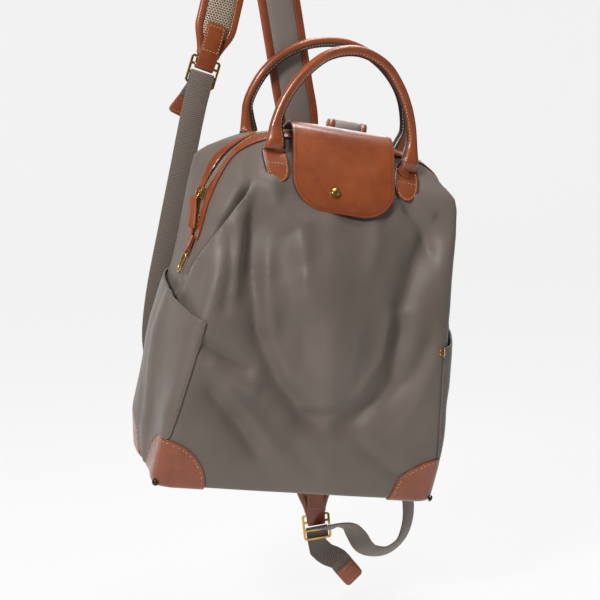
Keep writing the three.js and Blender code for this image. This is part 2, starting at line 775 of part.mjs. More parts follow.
// The link hangs in the bridge, and the tab hangs from the link down the side.
const linkTop = sliderFrame.at
  .clone()
  .setY(zip.from)
  .addScaledVector(sliderFrame.out, sliderFoot + slider.thick + (slider.bridge - slider.bar) / 2);
const linkDown = vec(-0.35, 0, -0.94).normalize();
const linkBottom = linkTop.clone().addScaledVector(linkDown, puller.height);

// A wire bent to a trapezium: narrow in the bridge, wide where the leather tab goes round it
function zipPuller() {
  const { top, bottom, height, bend } = puller;
  const right = [
    [top / 2 - bend, 0],
    [top / 2, bend],
    [bottom / 2, height - bend],
    [bottom / 2 - bend, height],
  ];
  const left = right.map(([wide, down]) => [-wide, down]).reverse();
  const points = [...right, ...left].map(([wide, down]) =>
    linkTop.clone().addScaledVector(linkDown, down).addScaledVector(Y, wide),
  );
  return wireLoop(points, puller.wire / 2, 6, linkDown.clone().cross(Y).normalize());
}

function zipPullTab() {
  const away = vec(0.06, 0, -1).normalize();
  const face = Y.clone().cross(away).normalize();
  const frames = foldRound({
    bar: linkBottom,
    across: Y,
    face,
    away,
    radius: puller.wire / 2 + 2 * gap + pullTab.thick / 2,
    legs: [pullTab.length, pullTab.length],
    spread: pullTab.thick / 2 + gap / 2,
  });
  return ribbon(frames, pullTab.width, pullTab.thick).subtract(shell(leather + 2 * gap));
}

// Rings at the ends of the zip: a D whose straight bar lies in a leather loop

function ringFrame(side) {
  const ridge = side < 0 ? leftSide : rightSide;
  const slope = (sideAt(ring.at + 6, ridge) - sideAt(ring.at - 6, ridge)) / 12;
  const away = vec(slope, 0, 1).normalize();
  const face = away.clone().cross(Y).normalize();
  if (face.x * side < 0) face.negate();
  const surface = vec(sideAt(ring.at, ridge), zip.from, ring.at);
  const stand = 2 * gap + ringTab.thick + ring.wire / 2 + 0.4;
  return { away, face, bar: surface.addScaledVector(face, stand) };
}
function sideRing(side) {
  const { away, face, bar } = ringFrame(side);
  const turns = 8;
  const arcRadius = (ring.width - ring.wire) / 2;
  const straight = ring.length - ring.wire - arcRadius;
  const outline = [[-arcRadius, 0]];
  for (let i = 0; i <= turns; i += 1) {
    const angle = (i / turns) * Math.PI;
    outline.push([-arcRadius * Math.cos(angle), -straight - arcRadius * Math.sin(angle)]);
  }
  outline.push([arcRadius, 0]);
  outline.push([0, 0]);
  const points = outline.map(([a, b]) => bar.clone().addScaledVector(Y, a).addScaledVector(away, b));
  return wireLoop(points, ring.wire / 2, 6, face).subtract(clearShell);
}
function sideRingTab(side) {
  const { away, face, bar } = ringFrame(side);
  const frames = foldRound({
    bar,
    across: Y,
    face,
    away,
    radius: ring.wire / 2 + gap + ringTab.thick / 2,
    legs: [ringTab.length, ringTab.length],
    spread: ringTab.thick / 2 + gap / 2,
  });
  return ribbon(frames, ringTab.width, ringTab.thick).subtract(clearShell);
}

// Carrying handles: flat stitched tabs that swell into a flare and run on as a round tube

// Half of each loop above its tab, in shares of the half width, half depth and height
const FRONT_HANDLE = [
  { out: 0.49, deep: -0.27, up: 0.966 },
  { out: 0.495, deep: -0.2, up: 1.0 },
  { out: 0.485, deep: -0.17, up: 1.04 },
  { out: 0.43, deep: -0.15, up: 1.105 },
  { out: 0.34, deep: -0.15, up: 1.165 },
  { out: 0.2, deep: -0.15, up: 1.22 },
];
const BACK_HANDLE = [
  { out: 0.565, deep: 0.79, up: 0.972 },
  { out: 0.585, deep: 0.81, up: 1.01 },
  { out: 0.6, deep: 0.8, up: 1.05 },
  { out: 0.53, deep: 0.77, up: 1.14 },
  { out: 0.4, deep: 0.76, up: 1.205 },
  { out: 0.22, deep: 0.76, up: 1.25 },
];
const HANDLES = {
  front: { side: -1, rows: FRONT_HANDLE, topUp: 1.243, topDeep: -0.15, tipOut: 0.463, tipUp: 0.855 },
  back: { side: 1, rows: BACK_HANDLE, topUp: 1.268, topDeep: 0.76, tipOut: 0.54, tipUp: 0.868 },
};
// Sections of a tab from its tip: far is a share of the tab's length and wide of its width
const TAB_SECTIONS = [
  { far: 0, wide: 0.16 },
  { far: 0.06, wide: 0.5 },
  { far: 0.2, wide: 0.82 },
  { far: 0.42, wide: 0.98 },
  { far: 0.7, wide: 1 },
  { far: 0.96, wide: 0.92 },
];
function handleLoop(which) {
  const { side, rows, topUp, topDeep, tipOut, tipUp } = HANDLES[which];
  const legFrames = (hand) => {
    const tab = TAB_SECTIONS.map((row) => {
      const share = (row.far * handle.tabLength) / bag.height;
      const x = hand * mix(tipOut, rows[0].out, row.far) * half.width;
      const cloth = clothFrame(x, (tipUp + share * 0.85) * bag.height, side);
      return {
        at: cloth.at.addScaledVector(cloth.out, gap + handle.tabThick / 2),
        face: cloth.out,
        wide: row.wide * handle.tab,
        thick: handle.tabThick,
      };
    });
    const first = tab.at(-1);
    const flareAt = first.at.clone().addScaledVector(first.face, (handle.flareThick - handle.tabThick) / 2);
    const flare = {
      at: flareAt.addScaledVector(Z, 1),
      face: first.face,
      wide: handle.flare,
      thick: handle.flareThick,
    };
    const loop = rows.map((row, i) => ({
      at: vec(hand * row.out * half.width, row.deep * half.depth, row.up * bag.height),
      face: vec(0, side, 0),
      wide: [handle.flare * 0.86, handle.flare * 0.62][i] ?? handle.tube,
      thick: handle.tube,
    }));
    return [...tab, flare, ...loop];
  };
  const top = {
    at: vec(0, topDeep * half.depth, topUp * bag.height),
    face: vec(0, side, 0),
    wide: handle.tube,
    thick: handle.tube,
  };
  const frames = [...legFrames(-1), top, ...legFrames(1).reverse()];
  const rings = frames.map((frame, i) => {
    const before = frames[Math.max(i - 1, 0)].at;
    const after = frames[Math.min(i + 1, frames.length - 1)].at;
    const forward = after.clone().sub(before).normalize();
    const face = frame.face.clone().addScaledVector(forward, -frame.face.dot(forward)).normalize();
    const across = forward.clone().cross(face);
    return Array.from({ length: handle.sides }, (_, k) => {
      const angle = ((k + 0.5) / handle.sides) * 2 * Math.PI;
      return frame.at
        .clone()
        .addScaledVector(across, (frame.wide / 2) * Math.cos(angle))
        .addScaledVector(face, (frame.thick / 2) * Math.sin(angle));
    });
  });
  return loft(rings).subtract(clearShell);
}

// Flap over the zip, sewn to the back and closed by a snap

// Its outer face seen from the side, from the seam at the back to the lower edge in front
const FLAP_LINE = [
  { deep: 0.84, up: 0.915 },
  { deep: 0.79, up: 0.94 },
  { deep: 0.68, up: 0.968 },
  { deep: 0.5, up: 0.994 },
  { deep: 0.28, up: 1.017 },
  { deep: 0.08, up: 1.024 },
  { deep: -0.13, up: 1.006 },
  { deep: -0.37, up: 0.94 },
  { deep: -0.6, up: 0.868 },
  { deep: -0.77, up: 0.81 },
  { deep: -0.88, up: 0.776 },
];
function flapSheet(widen, inward, outward) {
  const curve = new THREE.CatmullRomCurve3(
    FLAP_LINE.map((row) => placed({ ...row, out: 0 })),
    false,
    "centripetal",
  );
  const frames = Array.from({ length: flap.steps + 1 }, (_, i) => {
    const at = curve.getPointAt(i / flap.steps);
    return { at, out: curve.getTangentAt(i / flap.steps).cross(X).normalize() };
  });
  return loft(
    frames.map(({ at, out }) => {
      const low = at.clone().addScaledVector(out, -inward);
      const high = at.clone().addScaledVector(out, outward);
      return [low, low, high, high].map((p, k) =>
        p.clone().setX(k === 0 || k === 3 ? -flap.width / 2 - widen : flap.width / 2 + widen),
      );
    }),
  );
}
function topFlap() {
  const low = FLAP_LINE.at(-1).up * bag.height;
  const wide = flap.width / 2;
  const outline = [];
  for (const hand of [1, -1]) {
    for (let i = 0; i <= 6; i += 1) {
      const angle = radians(hand > 0 ? 15 * i : 90 - 15 * i);
      outline.push([
        hand * (wide - flap.round + flap.round * Math.sin(angle)),
        low + flap.round * 0.86 * (1 - Math.cos(angle)),
      ]);
    }
    if (hand > 0) {
      outline.push([wide, bag.height * 1.2]);
      outline.push([-wide, bag.height * 1.2]);
    }
  }
  const plan = prism(outline, -bag.depth, bag.depth, X, Z);
  return flapSheet(0, flap.thick, 0).intersect(plan).subtract(clearShell);
}

// The snap: a brass cap on the flap, and a post between the flap and the cloth
const snapFrame = (() => {
  const rows = FLAP_LINE.map((row) => placed({ ...row, out: 0 }));
  const i = rows.findIndex((p, k) => k > 6 && p.z < snap.up);
  const [a, b] = [rows[i - 1], rows[i]];
  const at = a.clone().lerp(b, (a.z - snap.up) / (a.z - b.z)).setX(snap.aside);
  const down = b.clone().sub(a).normalize();
  return { at, out: down.cross(X).normalize() };
})();
if (snapFrame.out.y > 0) snapFrame.out.negate();

function snapCap() {
  const foot = snapFrame.at.clone().addScaledVector(snapFrame.out, -flap.thick / 2);
  const cap = dome(snap.radius, snap.height + flap.thick / 2 + gap);
  return turned(cap, snap.sides, foot, snapFrame.out).subtract(flapSheet(0, flap.thick, gap));
}
function snapPost() {
  const cloth = clothAt(snap.aside, snap.up, -1);
  const foot = vec(snap.aside, cloth + 6, snap.up - 3);
  const span = snapFrame.at.clone().sub(foot).dot(snapFrame.out) + 2;
  const post = turned(
    [
      [0, 0],
      [snap.postRadius, 0],
      [snap.postRadius, span],
      [0, span],
    ],
    snap.sides,
    foot,
    snapFrame.out,
  );
  return post.subtract(clearShell).subtract(flapSheet(0, flap.thick + gap, snap.height * 4));
}

// Shoulder straps

// The way of each strap from the seam at the top of the back to its lower anchor. out, deep and up are
// shares of the half width, half depth and height; the face columns point out of its outer cloth.
const STRAP_ROWS = {
  carrying: [
    { out: -0.16, deep: 0.96, up: 0.862, faceOut: 0, faceDeep: -1, faceUp: 0 },
    { out: -0.162, deep: 0.945, up: 0.92, faceOut: 0, faceDeep: -1, faceUp: 0 },
    { out: -0.18, deep: 0.94, up: 0.98, faceOut: 0, faceDeep: -1, faceUp: 0 },
    { out: -0.21, deep: 0.91, up: 1.035, faceOut: 0, faceDeep: -1, faceUp: 0 },
    { out: -0.285, deep: 0.91, up: 1.12, faceOut: 0, faceDeep: -1, faceUp: 0 },
    { out: -0.385, deep: 0.91, up: 1.237, faceOut: 0, faceDeep: -1, faceUp: 0 },
    { out: -0.485, deep: 0.91, up: 1.352, faceOut: 0, faceDeep: -1, faceUp: 0 },
    { out: -0.6, deep: 0.92, up: 1.482, faceOut: 0, faceDeep: -1, faceUp: 0 },
    { out: -0.685, deep: 0.96, up: 1.585, faceOut: 0, faceDeep: -1, faceUp: 0.05 },
    { out: -0.73, deep: 1.06, up: 1.655, faceOut: 0, faceDeep: -0.85, faceUp: 0.5 },
    { out: -0.755, deep: 1.26, up: 1.69, faceOut: 0, faceDeep: 0, faceUp: 1 },
    { out: -0.775, deep: 1.46, up: 1.655, faceOut: 0, faceDeep: 0.85, faceUp: 0.5 },
    { out: -0.79, deep: 1.54, up: 1.585, faceOut: 0, faceDeep: 1, faceUp: 0.05 },
    { out: -0.805, deep: 1.54, up: 1.46, faceOut: 0, faceDeep: 1, faceUp: 0 },
    { out: -0.822, deep: 1.52, up: 1.33, faceOut: 0, faceDeep: 1, faceUp: 0 },
    { out: -0.84, deep: 1.5, up: 1.247, faceOut: 0, faceDeep: 1, faceUp: 0 },
    { out: -0.869, deep: 1.47, up: 1.164, faceOut: 0, faceDeep: 1, faceUp: 0 },
    { out: -0.892, deep: 1.43, up: 1.105, faceOut: 0, faceDeep: 1, faceUp: 0 },
    { out: -0.925, deep: 1.33, up: 0.98, faceOut: 0, faceDeep: 1, faceUp: 0 },
    { out: -0.945, deep: 1.27, up: 0.84, faceOut: 0, faceDeep: 1, faceUp: 0 },
    { out: -0.968, deep: 1.24, up: 0.65, faceOut: 0, faceDeep: 1, faceUp: 0 },
    { out: -0.985, deep: 1.25, up: 0.45, faceOut: 0, faceDeep: 1, faceUp: 0 },
    { out: -0.965, deep: 1.3, up: 0.32, faceOut: 0, faceDeep: 1, faceUp: 0 },
    { out: -0.915, deep: 1.35, up: 0.235, faceOut: 0, faceDeep: 1, faceUp: 0 },
    { out: -0.898, deep: 1.35, up: 0.18, faceOut: 0, faceDeep: 0.9, faceUp: -0.4 },
    { out: -0.897, deep: 1.26, up: 0.135, faceOut: 0, faceDeep: 0, faceUp: -1 },
  ],
  hanging: [
    { out: 0.165, deep: 0.96, up: 0.862, faceOut: 0, faceDeep: -1, faceUp: 0 },
    { out: 0.17, deep: 0.96, up: 0.92, faceOut: 0, faceDeep: -1, faceUp: 0 },
    { out: 0.18, deep: 0.99, up: 0.975, faceOut: 0, faceDeep: -1, faceUp: 0 },
    { out: 0.2, deep: 1.08, up: 1.028, faceOut: 0, faceDeep: -0.75, faceUp: 0.66 },
    { out: 0.22, deep: 1.26, up: 1.035, faceOut: 0, faceDeep: 0.35, faceUp: 0.93 },
    { out: 0.245, deep: 1.41, up: 0.985, faceOut: 0, faceDeep: 0.95, faceUp: 0.3 },
    { out: 0.27, deep: 1.45, up: 0.9, faceOut: 0, faceDeep: 1, faceUp: 0 },
    { out: 0.31, deep: 1.42, up: 0.76, faceOut: 0, faceDeep: 1, faceUp: 0 },
    { out: 0.34, deep: 1.36, up: 0.56, faceOut: 0, faceDeep: 1, faceUp: 0 },
    { out: 0.365, deep: 1.3, up: 0.36, faceOut: 0, faceDeep: 1, faceUp: 0 },
    { out: 0.395, deep: 1.28, up: 0.16, faceOut: 0, faceDeep: 1, faceUp: 0 },
    { out: 0.42, deep: 1.22, up: 0, faceOut: 0, faceDeep: 1, faceUp: -0.05 },
    { out: 0.45, deep: 1.1, up: -0.12, faceOut: 0, faceDeep: 1, faceUp: -0.1 },
    { out: 0.5, deep: 1.0, up: -0.225, faceOut: 0.1, faceDeep: 1, faceUp: 0 },
    { out: 0.545, deep: 0.96, up: -0.29, faceOut: 0.15, faceDeep: 1, faceUp: 0 },
  ],
};
// The way of the hanging strap's webbing from its buckle to its anchor, which is twisted once
const HANGING_WEBBING = [
  { out: 0.524, deep: 0.886, up: -0.2477, faceOut: 0, faceDeep: -0.3, faceUp: -0.95 },
  { out: 0.548, deep: 0.735, up: -0.233, faceOut: 0, faceDeep: -0.5, faceUp: -0.85 },
  { out: 0.621, deep: 0.629, up: -0.2116, faceOut: 0.1, faceDeep: -0.3, faceUp: -0.95 },
  { out: 0.717, deep: 0.652, up: -0.2145, faceOut: -0.1, faceDeep: -0.1, faceUp: -0.98 },
  { out: 0.814, deep: 0.773, up: -0.25, faceOut: -0.35, faceDeep: 0, faceUp: -0.9 },
  { out: 0.9, deep: 0.83, up: -0.292, faceOut: -0.35, faceDeep: -0.05, faceUp: -0.9 },
  { out: 0.98, deep: 0.9, up: -0.314, faceOut: 0, faceDeep: -0.3, faceUp: -0.95 },
  { out: 1.12, deep: 0.92, up: -0.316, faceOut: 0.2, faceDeep: -0.42, faceUp: -0.9 },
  { out: 1.235, deep: 0.95, up: -0.28, faceOut: 0.75, faceDeep: -0.4, faceUp: -0.55 },
  { out: 1.275, deep: 0.98, up: -0.21, faceOut: 0.95, faceDeep: -0.38, faceUp: -0.1 },
  { out: 1.24, deep: 1.04, up: -0.12, faceOut: 0.85, faceDeep: -0.4, faceUp: 0.35 },
  { out: 1.14, deep: 1.12, up: -0.02, faceOut: 0.6, faceDeep: -0.7, faceUp: 0.35 },
  { out: 0.98, deep: 1.17, up: 0.07, faceOut: 0.3, faceDeep: -0.95, faceUp: 0.2 },
];
const TAILS = {
  carrying: [
    { out: -0.913, deep: 1.48, up: 1.058, faceOut: 0.1, faceDeep: -1, faceUp: 0.1 },
    { out: -0.93, deep: 1.535, up: 1.043, faceOut: 0.2, faceDeep: -0.95, faceUp: 0.1 },
    { out: -0.945, deep: 1.575, up: 1.03, faceOut: 0.3, faceDeep: -0.95, faceUp: 0 },
  ],
  hanging: [
    { out: 0.559, deep: 1.015, up: -0.318, faceOut: 0, faceDeep: -1, faceUp: 0 },
    { out: 0.634, deep: 0.985, up: -0.34, faceOut: -0.1, faceDeep: -0.9, faceUp: 0.3 },
    { out: 0.731, deep: 0.94, up: -0.352, faceOut: -0.3, faceDeep: -0.75, faceUp: 0.5 },
    { out: 0.786, deep: 0.91, up: -0.372, faceOut: -0.4, faceDeep: -0.7, faceUp: 0.5 },
  ],
};

// Where the webbing ends: up inside the sleeve of the lower anchor, close to the cloth
function sleeveStops(side) {
  const x = side * lowAnchor.aside;
  return [lowAnchor.up - 7, lowAnchor.up + 3, lowAnchor.up + lowAnchor.height - 10].map((z, i) => {
    const { at, out } = clothFrame(x, z, 1);
    const stand = [2.2, 0.6, 0.6][i] + gap + webbing.thick / 2;
    return { at: at.addScaledVector(out, stand), face: out.clone().negate() };
  });
}

const WAY_STEP = 3;
const WAY_TURN = radians(18);
const WAY_LONGEST = 45;
// A smooth way through the rows of a table, read by the distance along it.
class Way {
  constructor(rows, after = [], pad = 0) {
    this.pad = pad;
    const face = (row) => vec(row.faceOut, row.faceDeep, row.faceUp).normalize();
    const stops = [...rows.map((row) => ({ at: placed(row), face: face(row) })), ...after];
    const places = new THREE.CatmullRomCurve3(
      stops.map(({ at }) => at),
      false,
      "centripetal",
    );
    const faces = new THREE.CatmullRomCurve3(
      stops.map((stop) => stop.face),
      false,
      "catmullrom",
      0.4,
    );
    const fine = stops.length * 16;
    this.samples = Array.from({ length: fine + 1 }, (_, i) => ({
      at: places.getPoint(i / fine),
      face: faces.getPoint(i / fine).normalize(),
      far: 0,
    }));
    for (let i = 1; i <= fine; i += 1) {
      this.samples[i].far = this.samples[i - 1].far + this.samples[i].at.distanceTo(this.samples[i - 1].at);
    }
    this.length = this.samples[fine].far;
  }

  frame(distance) {
    const last = this.samples.length - 1;
    const far = clamp(distance, 0, this.length);
    let i = 0;
    while (i < last - 1 && this.samples[i + 1].far < far) i += 1;
    const [a, b] = [this.samples[i], this.samples[i + 1]];
    const t = (far - a.far) / (b.far - a.far);
    const forward = b.at.clone().sub(a.at).normalize();
    const face = a.face.clone().lerp(b.face, t);
    face.addScaledVector(forward, -face.dot(forward)).normalize();
    const across = forward.clone().cross(face).normalize();
    return { at: a.at.clone().lerp(b.at, t).addScaledVector(forward, distance - far), forward, face, across };
  }

  // Distances between two stations, closer together where the way bends or twists.
  stations(from, to) {
    const stops = [from];
    let last = this.frame(from);
    for (let far = from + WAY_STEP; far < to - WAY_STEP / 2; far += WAY_STEP) {
      const next = this.frame(far);
      const turned = Math.max(next.forward.angleTo(last.forward), next.face.angleTo(last.face));
      if (turned < WAY_TURN && far - stops.at(-1) < WAY_LONGEST) continue;
      stops.push(far);
      last = next;
    }
    return [...stops, to];
  }

  frames(from, to) {
    return this.stations(from, to).map((far) => this.frame(far));
  }
}

// The stations of a strap's parts along its way
const strapWays = {
  carrying: new Way(STRAP_ROWS.carrying, sleeveStops(-1), padLength.carrying),
  hanging: new Way(STRAP_ROWS.hanging, [], padLength.hanging),
};
const barA = (way) => way.pad + endTab.beyondPad; // the buckle's bar that the leather end goes round
const barB = (way) => barA(way) + buckle.pitchMiddle; // the bar that the webbing goes round
const aroundBar = (thick) => Math.hypot(buckle.bar, buckle.thick) / 2 + 1.5 * gap + thick / 2;

const padWidth = (left) => mix(strap.narrow, strap.width, ease(left / strap.taper + 0.05));
// One of the strap's four long pieces; section gives its corners for half the cloth's width.
function padPiece(way, section) {
  const stations = way.stations(0, way.pad - strap.taper);
  for (let i = 1; i <= 4; i += 1) stations.push(way.pad - strap.taper + (i / 4) * strap.taper);
  const rings = stations.map((distance) => {
    const { at, across, face } = way.frame(distance);
    const wide = padWidth(way.pad - distance) / 2;
    return section(wide - strap.edge, wide).map(([a, b]) =>
      at.clone().addScaledVector(across, a).addScaledVector(face, b),
    );
  });
  return loft(rings).subtract(shell(leather + 2 * gap));
}
function padPanel(way, side) {
  const low = (side * gap) / 2;
  const high = side * strap.panel;
  return padPiece(way, (a) => [
    [-a, low],
    [a, low],
    [a, high],
    [0, high * 1.22],
    [-a, high],
  ]);
}
function padEdge(way, side) {
  const thick = strap.thick / 2 - 0.5;
  return padPiece(way, (a, wide) => [
    [side * (a + gap), -thick],
    [side * (wide - 1.6), -thick],
    [side * wide, 0],
    [side * (wide - 1.6), thick],
    [side * (a + gap), thick],
  ]);
}
function strapEndTab(way) {
  const { at, forward, across, face } = way.frame(barA(way));
  const away = forward.clone().negate();
  const radius = aroundBar(endTab.thick);
  const spread = strap.panel * 1.22 + 3.6 * gap + endTab.thick / 2;
  const legs = (side) => {
    const over = [endTab.overPad, endTab.overPad / 2, -2];
    return over.map((distance) => {
      const frame = way.frame(way.pad - distance);
      return {
        at: frame.at.addScaledVector(frame.face, side * spread),
        across,
        face: face.clone().multiplyScalar(side),
      };
    });
  };
  const turn = foldRound({ bar: at, across, face, away, radius, legs: [1, 1], spread: radius }).slice(1, -1);
  return ribbon([...legs(1), ...turn, ...legs(-1).reverse()], endTab.width, endTab.thick);
}

// Frame with four bars: the outer two close it, the leather goes round the second, the webbing round
// the third.
function strapBuckle(way) {
  const { at, forward, across } = way.frame(barA(way));
  const wide = buckle.width / 2;
  const bar = buckle.bar;
  const bars = [-buckle.pitchTop, 0, buckle.pitchMiddle, buckle.pitchMiddle + buckle.pitchBottom];
  const block = (left, right, low, high, thick) =>
    prism(
      [
        [left, low],
        [right, low],
        [right, high],
        [left, high],
      ],
      -thick,
      thick,
      across,
      forward,
      at,
    );
  const chamfer = 2.2;
  const [low, high] = [bars[0] - bar / 2, bars[3] + bar / 2];
  const outline = [
    [-wide + chamfer, low],
    [wide - chamfer, low],
    [wide, low + chamfer],
    [wide, high - chamfer],
    [wide - chamfer, high],
    [-wide + chamfer, high],
    [-wide, high - chamfer],
    [-wide, low + chamfer],
  ];
  let solid = prism(outline, -buckle.thick / 2, buckle.thick / 2, across, forward, at);
  for (let i = 0; i < 3; i += 1) {
    const [from, to] = [bars[i] + bar / 2, bars[i + 1] - bar / 2];
    solid = solid.subtract(block(-wide + bar, wide - bar, from, to, buckle.thick));
  }
  return solid;
}

// The webbing from its anchor, round the buckle's bar and on as a loose tail. Leaves is the angle round
// the bar where the long run parts from it, in degrees.
function webbingTurn(way, leaves) {
  const { at, forward, across, face } = way.frame(barB(way));
  const radius = aroundBar(webbing.thick);
  const leg = buckle.pitchBottom + 1;
  return foldRound({
    bar: at,
    across,
    face: face.clone().negate(),
    away: forward,
    radius,
    legs: [leg, leg],
    spread: radius,
    start: radians(leaves),
  });
}
function strapWebbing(name) {
  const way = strapWays[name];
  const turn = webbingTurn(way, name === "carrying" ? 0 : 107);
  const free = barB(way) + buckle.pitchBottom + 16;
  const route = name === "carrying" ? way : new Way(HANGING_WEBBING, sleeveStops(1));
  const from = name === "carrying" ? free : 0;
  const main = route.stations(from, route.length).map((far) => ({
    ...route.frame(far),
    share: mix(webbing.squeeze, 1, name === "carrying" ? 1 : ease(far / webbing.squeezed - 0.6)),
  }));
  const tailWay = new Way(TAILS[name]);
  // Frames turned over where needed, so that each lies like the one before it, from the bar outwards
  const aligned = (frames, bar, travel) => {
    let before = bar;
    return frames.map((frame) => {
      const hand = Math.sign(frame.across.dot(before));
      before = frame.across.clone().multiplyScalar(hand);
      return { ...frame, across: before, face: frame.face.clone().multiplyScalar(hand * travel) };
    });
  };
  const mainFrames = aligned(main, turn[0].across, -1).reverse();
  const tailFrames = aligned(tailWay.frames(0, tailWay.length), turn.at(-1).across, 1);
  return { frames: [...mainFrames, ...turn, ...tailFrames], end: tailFrames.at(-1) };
}
function webbingSolid(name) {
  return ribbon(strapWebbing(name).frames, webbing.width, webbing.thick).subtract(clearShell);
}
function tailTip(name) {
  const { end } = strapWebbing(name);
  const near = { ...end, at: end.at.clone().addScaledVector(end.forward, gap) };
  const far = { ...end, at: end.at.clone().addScaledVector(end.forward, tail.tip) };
  return ribbon([near, far], webbing.width, tail.tipThick);
}

// Leather patch that holds both straps at the top of the back
function strapAnchor() {
  const outline = [
    [-anchor.width / 2, anchor.up - anchor.height / 2],
    [anchor.width / 2, anchor.up - anchor.height / 2],
    [anchor.width / 2, anchor.up + anchor.height / 2],
    [-anchor.width / 2, anchor.up + anchor.height / 2],
  ];
  return skin(prism(outline, -bag.depth, 0, X, Z));
}

// Leather tab low on the back, a sleeve that the webbing's end goes into
function lowerAnchor(side) {
  const middle = side * lowAnchor.aside;
  const box = (wide, low, high) =>
    prism(
      [
        [middle - wide / 2, low],
        [middle + wide / 2, low],
        [middle + wide / 2, high],
        [middle - wide / 2, high],
      ],
      -bag.depth,
      0,
      X,
      Z,
    );
  const top = lowAnchor.up + lowAnchor.height;
  const room = webbing.thick + 2 * gap + 2;
  const outer = box(lowAnchor.width, lowAnchor.up, top).intersect(shell(room + leather));
  const inner = box(webbing.width + 2 * lowAnchor.slack, lowAnchor.up - 5, top - 8).intersect(shell(room));
  return outer.subtract(clearShell).subtract(inner);
}

// Finishes

const FINISHES = {
  nylon: { color: 0x766a62, roughness: 0.55, metalness: 0 },
  leather: { color: 0xa0552d, roughness: 0.35, metalness: 0 },
  brass: { color: 0xc8a050, roughness: 0.3, metalness: 1 },
  dark_metal: { color: 0x3a302a, roughness: 0.4, metalness: 1 },
  teeth: { color: 0xd8c8a8, roughness: 0.4, metalness: 0.6 },
  mesh_cloth: { color: 0xc8b49a, roughness: 0.9, metalness: 0 },
  webbing: { color: 0x6e625a, roughness: 0.8, metalness: 0 },
};
const bagGroup = new THREE.Group();
function add(name, finish, solid) {
  const mesh = new THREE.Mesh(geometryOf(solid), new THREE.MeshStandardMaterial(FINISHES[finish]));
  mesh.name = name;
  bagGroup.add(mesh);
}

add("bag_body", "nylon", bagBody());
add("left_pocket", "nylon", sidePocket(-1));
add("right_pocket", "nylon", sidePocket(1));
add("right_pocket_ring", "brass", pocketRingSolid());
for (const where of CORNERS) {
  add(`corner_patch_${where.name}`, "leather", cornerPatch(where));
  add(`corner_stud_${where.name}`, "dark_metal", cornerStud(where));
}
add("zip_edging_front", "leather", zipEdging(-1));
add("zip_edging_back", "leather", zipEdging(1));
add("zip_chain", "teeth", zipChain());
add("zip_slider", "brass", zipSlider());
add("zip_link", "brass", zipPuller());
add("zip_pull_tab", "leather", zipPullTab());
for (const [hand, side] of [
  ["left", -1],
  ["right", 1],
]) {
  add(`${hand}_ring`, "brass", sideRing(side));
  add(`${hand}_ring_tab`, "leather", sideRingTab(side));
  add(`${hand}_lower_anchor`, "leather", lowerAnchor(side));
}
add("front_handle", "leather", handleLoop("front"));
add("back_handle", "leather", handleLoop("back"));
add("top_flap", "leather", topFlap());
add("snap_cap", "brass", snapCap());
add("snap_post", "brass", snapPost());
add("strap_anchor", "leather", strapAnchor());
for (const [name, way] of Object.entries(strapWays)) {
  add(`${name}_strap_outer`, "nylon", padPanel(way, 1));
  add(`${name}_strap_mesh`, "mesh_cloth", padPanel(way, -1));
  add(`${name}_strap_edge_a`, "leather", padEdge(way, -1));
  add(`${name}_strap_edge_b`, "leather", padEdge(way, 1));
  add(`${name}_strap_end_tab`, "leather", strapEndTab(way));
  add(`${name}_strap_buckle`, "brass", strapBuckle(way));
  add(`${name}_strap_webbing`, "webbing", webbingSolid(name));
  add(`${name}_strap_tail_tip`, "leather", tailTip(name));
}

// Hang the bag: the origin is the inside of the carrying strap's loop at its highest point.
const loopTop = STRAP_ROWS.carrying.reduce((best, row) => (row.up > best.up ? row : best));
const hangPoint = placed(loopTop).addScaledVector(Z, -strap.thick / 2);
bagGroup.position.copy(hangPoint).negate();
const backpack = new THREE.Group();
const leaned = new THREE.Group();
leaned.rotation.set(radians(lean.forward), radians(lean.side), 0, "YXZ");
leaned.add(bagGroup);
backpack.add(leaned);
export default backpack;
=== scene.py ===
import math

import bmesh
import bpy
from mathutils import Matrix, Vector, noise
from mathutils.bvhtree import BVHTree


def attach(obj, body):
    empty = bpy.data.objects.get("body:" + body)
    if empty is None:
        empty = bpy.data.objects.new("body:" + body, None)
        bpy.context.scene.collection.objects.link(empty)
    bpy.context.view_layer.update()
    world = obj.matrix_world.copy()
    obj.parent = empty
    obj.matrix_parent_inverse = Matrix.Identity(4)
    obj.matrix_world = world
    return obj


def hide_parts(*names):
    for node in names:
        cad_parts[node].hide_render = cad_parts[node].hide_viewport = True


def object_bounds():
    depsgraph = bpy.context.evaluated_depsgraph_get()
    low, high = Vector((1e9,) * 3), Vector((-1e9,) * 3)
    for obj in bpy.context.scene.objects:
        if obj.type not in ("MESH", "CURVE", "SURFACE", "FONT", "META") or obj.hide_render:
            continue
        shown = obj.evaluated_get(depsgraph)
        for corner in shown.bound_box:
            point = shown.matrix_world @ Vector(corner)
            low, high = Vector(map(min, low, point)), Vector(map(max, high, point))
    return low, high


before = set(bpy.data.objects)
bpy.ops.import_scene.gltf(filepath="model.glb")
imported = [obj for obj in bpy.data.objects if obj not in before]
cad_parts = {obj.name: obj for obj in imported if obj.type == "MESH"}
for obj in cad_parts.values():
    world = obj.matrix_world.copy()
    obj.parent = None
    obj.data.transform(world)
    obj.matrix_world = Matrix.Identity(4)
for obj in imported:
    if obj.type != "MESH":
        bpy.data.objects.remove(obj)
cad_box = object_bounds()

# A convertible backpack hanging from one strap. Pieces are made in the bag's own frame, in
# millimetres with the front at -Y and the base at 0, and then leaned and hung as the solids are.
HALF_WIDTH = 145
HALF_DEPTH = 66
HEIGHT = 352
HANG_POINT = Vector((-0.755 * HALF_WIDTH, 1.26 * HALF_DEPTH, 1.69 * HEIGHT - 3.5))
LEAN = Matrix.Rotation(math.radians(7.2), 4, "Y") @ Matrix.Rotation(math.radians(9.9), 4, "X")
